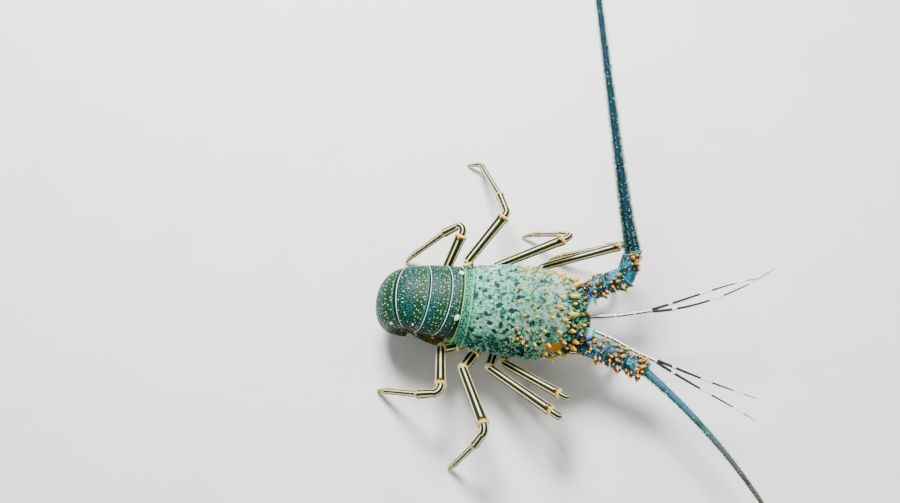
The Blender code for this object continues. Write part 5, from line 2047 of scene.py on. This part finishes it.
def antennae() -> list[Antenna]:
    """Both antennae: the left held up and back, the right out in front.

    Returns:
        The left one, then the right one.
    """
    return [
        Antenna(
            Side.LEFT,
            ((89.0, 17.5, 37.0), (112.5, 31.5, 46.0), (127.5, 35.5, 51.5), (131.0, 54.0, 61.5)),
            ((131.0, 54.0, 61.5), (107.5, 114.0, 110.5), (64.0, 320.0, 203.0), (50.0, 345.0, 196.0)),
        ),
        Antenna(
            Side.RIGHT,
            ((89.0, -17.5, 37.0), (117.0, -27.0, 40.5), (132.0, -33.0, 41.0), (147.5, -39.5, 41.5)),
            ((147.5, -39.5, 41.5), (229.0, -107.0, 48.5), (285.5, -189.5, 38.0), (318.0, -292.0, 16.0)),
            whip_radius=3.4, whip_taper=1.5, fringe=2000, fringe_length=1.1, spinules=160,
            whip_finish=PALE_TEAL_FLAGELLUM,
        ),
    ]


@dataclass(frozen=True)
class Antennule:
    """One antennule: a thin jointed stalk with two banded whips; a band is its share along and half width."""

    side: Side
    joints: tuple[Place, ...]
    whips: dict[str, tuple[Place, ...]]
    radius: float = 1.5
    whip_radius: float = 1.05
    spread: float = 0.85
    gap: float = 0.3
    bands: Table = ((0.17, 0.012), (0.5, 0.05), (0.82, 0.045))
    band_fade: float = 0.012
    profile: Table = (
        (0, 0.7), (0.05, 0.86), (0.12, 0.96), (0.85, 0.94), (0.95, 1.1), (0.985, 1.02), (1, 0.7),
    )

    def stalk(self) -> Surface:
        """Three slim articles, each swollen at its far end.

        Returns:
            The three tubes as one.
        """
        joints = np.array(self.joints)
        radii = self.radius * eased(self.profile, np.linspace(0.0, 1.0, 34))[:, 0]
        return joined([
            tube(straight(start, end, 34), radii, np.cross(UP, end - start), 20)
            for start, end in zip(joints, joints[1:])
        ])

    def whip(self, word: str) -> Surface:
        """One whip: a tapering curve with a few long white bands.

        Args:
            word: Which whip, outer or inner.

        Returns:
            The tube with the mark band.
        """
        near, end = (np.array(p) for p in self.joints[2:])
        away = self.side.value * (1.0 if word == "outer" else -1.0)
        way = unit(end - near)
        start = end + way * self.gap + unit(np.cross(UP, way)) * away * self.spread
        t = np.linspace(0.0, 1.0, 260)
        path, _ = curve((start, *self.whips[word]), t)
        made = tube(path, (self.whip_radius * (1.0 - t) ** 0.8 + 0.25) * 0.95, np.cross(UP, way), 12)
        share = made.marks["along"] / made.marks["along"].max()
        made.marks["band"] = np.max([
            step(np.abs(share - at), half + self.band_fade, half) for at, half in self.bands
        ], axis=0)
        return made

    def pieces(self) -> list[Piece]:
        """Stalk and whips.

        Returns:
            The pieces.
        """
        name = f"antennule_{self.side.word}"
        made = [Piece(f"{name}_stalk", self.stalk(), ANTENNULE_SHELL, (name,), Slot.ANTENNULE)]
        for word in self.whips:
            node = f"{name}_{word}"
            made.append(Piece(f"{node}_whip", self.whip(word), WHIP_SHELL, (node,), Slot.ANTENNULE))
        return made


def antennules() -> list[Antennule]:
    """Both antennules, whose whips each follow their stalk's end and three more control points.

    Returns:
        The left one, then the right one.
    """
    return [
        Antennule(
            Side.LEFT,
            ((99.5, 4.5, 35.0), (123.0, 6.5, 39.5), (137.5, 9.0, 42.5), (150.5, 11.5, 45.5)),
            {
                "outer": ((176.5, 21.0, 50.5), (204.5, 35.5, 56.5), (234.0, 42.5, 60.5)),
                "inner": ((178.5, 14.0, 47.5), (214.5, 27.5, 53.5), (245.0, 51.0, 62.5)),
            },
        ),
        Antennule(
            Side.RIGHT,
            ((99.5, -4.5, 35.0), (120.5, -13.0, 38.5), (139.0, -23.0, 40.5), (156.5, -30.5, 42.5)),
            {
                "outer": ((181.5, -46.0, 42.0), (206.5, -56.5, 42.5), (235.0, -71.5, 41.5)),
                "inner": ((182.5, -39.5, 45.0), (207.5, -48.5, 46.5), (234.0, -55.5, 48.5)),
            },
        ),
    ]


# Head


@dataclass(frozen=True)
class Head:
    """The plate between the antennae, the eyes, the pleated fans and the mouth feet."""

    plate_x: Pair = (86.0, 103.0)
    plate_z: Pair = (26.0, 42.0)
    plate_half_width: float = 9.0
    plate_steps: Table = ((0, 1, 0, 0), (0.75, 0.95, 1.5, 0.5), (0.96, 0.66, 5.0, 2.6), (1, 0.5, 6.5, 4))
    plate_teeth: Table = ((100.8, 4.0, 39.8, 4.6), (98.9, 3.9, 41.2, 3.0))
    eye: Place = (95.8, 20.4, 51.6)
    eye_radius: float = 3.9
    stalk_root: Place = (86.0, 12.0, 50.0)
    stalk_radii: Table = ((0, 2.5), (0.3, 2.6), (0.7, 3.1), (0.92, 4.0), (1, 3.5))
    maxilliped: tuple[Place, ...] = ((70.0, 6.5, 17.0), (97.0, 8.5, 22.0), (86.0, 5.5, 9.0))
    maxilliped_radius: float = 3.2
    maxilliped_profile: Table = (
        (0, 0.8), (0.1, 1.0), (0.42, 1.0), (0.55, 0.86), (0.6, 0.78), (0.8, 0.76), (0.93, 0.5), (1, 0.2),
    )
    fan_root: Place = (93.0, 8.5, 42.5)
    fan_turns: Pair = (2.0, 74.0)
    fan_reach: float = 14.5
    fan_rise: float = 0.3
    pleats: int = 7
    pleat_height: float = 0.55
    fan_half_thickness: float = 0.18

    def plate(self) -> Surface:
        """The plate: a rounded box section that narrows and steps up to the front.

        Returns:
            The surface with the marks left and turn, which keep the shell's rims off it.
        """
        share = np.linspace(0.0, 1.0, 44)
        angle = around(60)
        wide, low, high = np.moveaxis(eased(self.plate_steps, share)[:, None], -1, 0)
        bottom, top = self.plate_z[0] + low, self.plate_z[1] - high
        y = self.plate_half_width * wide * blunted(np.cos(angle), 0.45)
        z = (bottom + top) / 2 + (top - bottom) / 2 * blunted(np.sin(angle), 0.45)
        x = mix(self.plate_x, share[:, None]) + 0.0 * angle
        turn = np.abs(angle - math.pi / 2) % (2 * math.pi) / math.pi * 0.4
        return skin(np.stack((x, y, z), axis=-1), {"left": np.full((44, 1), 30.0), "turn": turn})

    def teeth(self) -> Surface:
        """The four teeth of the plate, where the solid has its own."""
        rows = np.array([(x, y * s, z, length) for x, y, z, length in self.plate_teeth for s in (1.0, -1.0)])
        return spikes(rows[:, :3], UP, AHEAD, rows[:, 3], rows[:, 3] * 0.4, sides=12)

    def eye_frame(self, side: Side) -> tuple[Array, Array, Array]:
        """Middle of the eyeball, root of its stalk and the direction between them."""
        centre, root = np.array(self.eye) * side.flip, np.array(self.stalk_root) * side.flip
        return centre, root, unit(centre - root)

    def eyeball(self, side: Side) -> Surface:
        """The cornea: a ball turned about the stalk's line, with poles along it.

        Args:
            side: Which eye.

        Returns:
            The ball, cut flat where the cup hides it.
        """
        centre, _, way = self.eye_frame(side)
        angle = np.linspace(0.65, math.pi - 0.03, 30)
        path = centre - way * (self.eye_radius * np.cos(angle))[:, None]
        return tube(path, self.eye_radius * np.sin(angle), np.cross(UP, way), 36)

    def stalk(self, side: Side) -> Surface:
        """The eye's short stalk, flared into a cup round the ball.

        Args:
            side: Which eye.

        Returns:
            The tube.
        """
        centre, root, way = self.eye_frame(side)
        share = np.linspace(0.0, 1.0, 26)
        path = root + way * (share * (float(np.linalg.norm(centre - root)) - 1.6))[:, None]
        return tube(path, eased(self.stalk_radii, share)[:, 0], np.cross(UP, way), 30)

    def pearly_fan(self, side: Side) -> Surface:
        """A pleated fan beside the eye.

        The reach r and the turn a run over a sector; the place is the root plus r times the level
        direction at a, raised by the fan's slope, and the pleats lift it by a cosine of the turn.

        Args:
            side: Which eye it is beside.

        Returns:
            The surface with the marks out, across and pleat.
        """
        out = np.linspace(0.06, 1.0, 26)[:, None]
        ring = np.linspace(0.0, 1.0, 64)
        across = np.concatenate((ring, ring[::-1]))[None, :]
        face = np.concatenate((np.ones(64), -np.ones(64)))[None, :]
        turn = np.radians(mix(self.fan_turns, across))
        reach = self.fan_reach * out * (0.86 + 0.14 * np.sin(math.pi * across))
        pleat = 0.5 + 0.5 * np.cos(2 * math.pi * self.pleats * across)
        x = self.fan_root[0] + reach * np.cos(turn)
        y = side.value * (self.fan_root[1] + reach * np.sin(turn))
        lift = self.pleat_height * out * pleat + self.fan_half_thickness * face
        z = self.fan_root[2] + self.fan_rise * reach + lift
        return skin(np.stack((x, y, z), axis=-1), {"out": out, "across": across, "pleat": pleat})

    def mouth_foot(self, side: Side) -> Surface:
        """The folded foot beside the mouth, as one bent tube with a swelling at each length.

        Args:
            side: Which foot.

        Returns:
            The tube.
        """
        root, elbow, tip = (np.array(p) * side.flip for p in self.maxilliped)
        points = np.array((
            root, mix((root, elbow), 0.5), mix((root, elbow), 0.92), elbow + (1.2, 0, -2.6),
            mix((elbow, tip), 0.35) + (0.6, 0, -1.0), tip,
        ))
        radii = self.maxilliped_radius * eased(self.maxilliped_profile, np.linspace(0.0, 1.0, 60))[:, 0]
        return tube(smooth_path(points, 60), radii, LEFTWARD, 24)

    def pieces(self) -> list[Piece]:
        """Plate with its teeth, eyes, fans and mouth feet.

        Returns:
            The pieces.
        """
        plate = ("antennular_plate",)
        made = [
            Piece("antennular_plate_skin", self.plate(), PEDUNCLE_SHELL, plate, Slot.ANTENNA),
            Piece("antennular_plate_teeth", self.teeth(), HORNY_SPINE, plate, Slot.ANTENNA),
        ]
        for side in Side:
            eye, foot = f"eye_{side.word}", f"maxilliped_{side.word}"
            made += [
                Piece(f"{eye}_ball", self.eyeball(side), CORNEA, (eye,), Slot.CORNEA),
                Piece(f"{eye}_stalk", self.stalk(side), EYE_STALK, (eye,), Slot.CORNEA),
                Piece(f"eye_fan_{side.word}", self.pearly_fan(side), PEARLY_FAN, plate, Slot.ANTENNA),
                Piece(f"{foot}_skin", self.mouth_foot(side), LEG_SHELL, (foot,), Slot.LEG),
            ]
        return made


# Studio


@dataclass(frozen=True)
class Studio:
    """Plain pale floor, soft light and the camera at the photo's angle.

    Camera angles are in degrees from a camera that looks straight down. A lamp is its place in metres,
    the side of its square and its power in watts.
    """

    floor_size: float = 3.0
    camera_place: Place = (10.52, -443.78, 1050.60)
    camera_turn: float = 3.0
    camera_tilt: float = 26.0
    camera_roll: float = 3.0
    lens: float = 55.0
    sky: float = 0.2
    lamps: tuple[tuple[Place, float, float], ...] = (
        ((-0.4, 0.7, 1.05), 0.5, 50.0),
        ((0.9, 0.5, 1.1), 0.9, 7.0),
        ((0.2, -1.0, 0.8), 1.0, 5.0),
    )

    def floor(self) -> None:
        """A thin board under the animal."""
        half = self.floor_size / 2
        mesh = bpy.data.meshes.new("floor")
        corners = [(-half, -half, 0.0), (half, -half, 0.0), (half, half, 0.0), (-half, half, 0.0)]
        mesh.from_pydata(corners, [], [(0, 1, 2, 3)])
        board = bpy.data.objects.new("floor", mesh)
        mesh.materials.append(material(FLOOR_BOARD))
        bpy.context.scene.collection.objects.link(board)

    def light(self) -> None:
        """Area lamps that face the animal and a pale sky."""
        for k, (place, size, power) in enumerate(self.lamps):
            lamp = bpy.data.lights.new(f"softbox_{k}", "AREA")
            lamp.size, lamp.energy = size, power
            back = unit(np.array(place))
            right = unit(np.cross(UP, back))
            self.hang(lamp, np.column_stack((right, np.cross(back, right), back)), place)
        world = bpy.data.worlds.new("pale sky")
        world.use_nodes = True
        sky = world.node_tree.nodes["Background"]
        sky.inputs["Color"].default_value = linear("#E8EEF0")
        sky.inputs["Strength"].default_value = self.sky
        bpy.context.scene.world = world

    def camera(self, shift: Array) -> None:
        """The camera at the photo's place and angle over the animal.

        Args:
            shift: Step from the animal's frame to the shared one, in mm.
        """
        made = bpy.data.cameras.new("camera")
        made.sensor_width, made.lens, made.sensor_fit = 36.0, self.lens, "HORIZONTAL"
        turns = ((self.camera_turn, "Z"), (self.camera_tilt, "X"), (self.camera_roll, "Z"))
        turn, tilt, roll = (Matrix.Rotation(math.radians(angle), 3, axis) for angle, axis in turns)
        place = (np.array(self.camera_place) + shift) * MM
        bpy.context.scene.camera = self.hang(made, np.array(turn @ tilt @ roll), place)

    @staticmethod
    def hang(made: bpy.types.Light | bpy.types.Camera, axes: Array, place: Any) -> bpy.types.Object:
        """Puts a lamp or camera in the scene.

        Args:
            made: Its data.
            axes: Its right, up and back directions as columns.
            place: Where it stands, in metres.

        Returns:
            Its object.
        """
        held = bpy.data.objects.new(made.name, made)
        held.matrix_world = Matrix(np.vstack((np.column_stack((axes, place)), (0, 0, 0, 1))).tolist())
        bpy.context.scene.collection.objects.link(held)
        return held


def main() -> None:
    """Builds every piece in order, then the studio."""
    logging.basicConfig(level=logging.INFO, format="%(message)s")
    shift = animal_shift()
    studio = Studio()
    studio.camera(shift)
    studio.light()
    studio.floor()
    abdomen = Abdomen()
    makers = [Carapace(), abdomen, TailFan(abdomen), Sternum(), *legs(), *antennae(), *antennules(), Head()]
    for maker in makers:
        for piece in maker.pieces():
            place_piece(piece, shift)


if __name__ == "__main__":
    main()
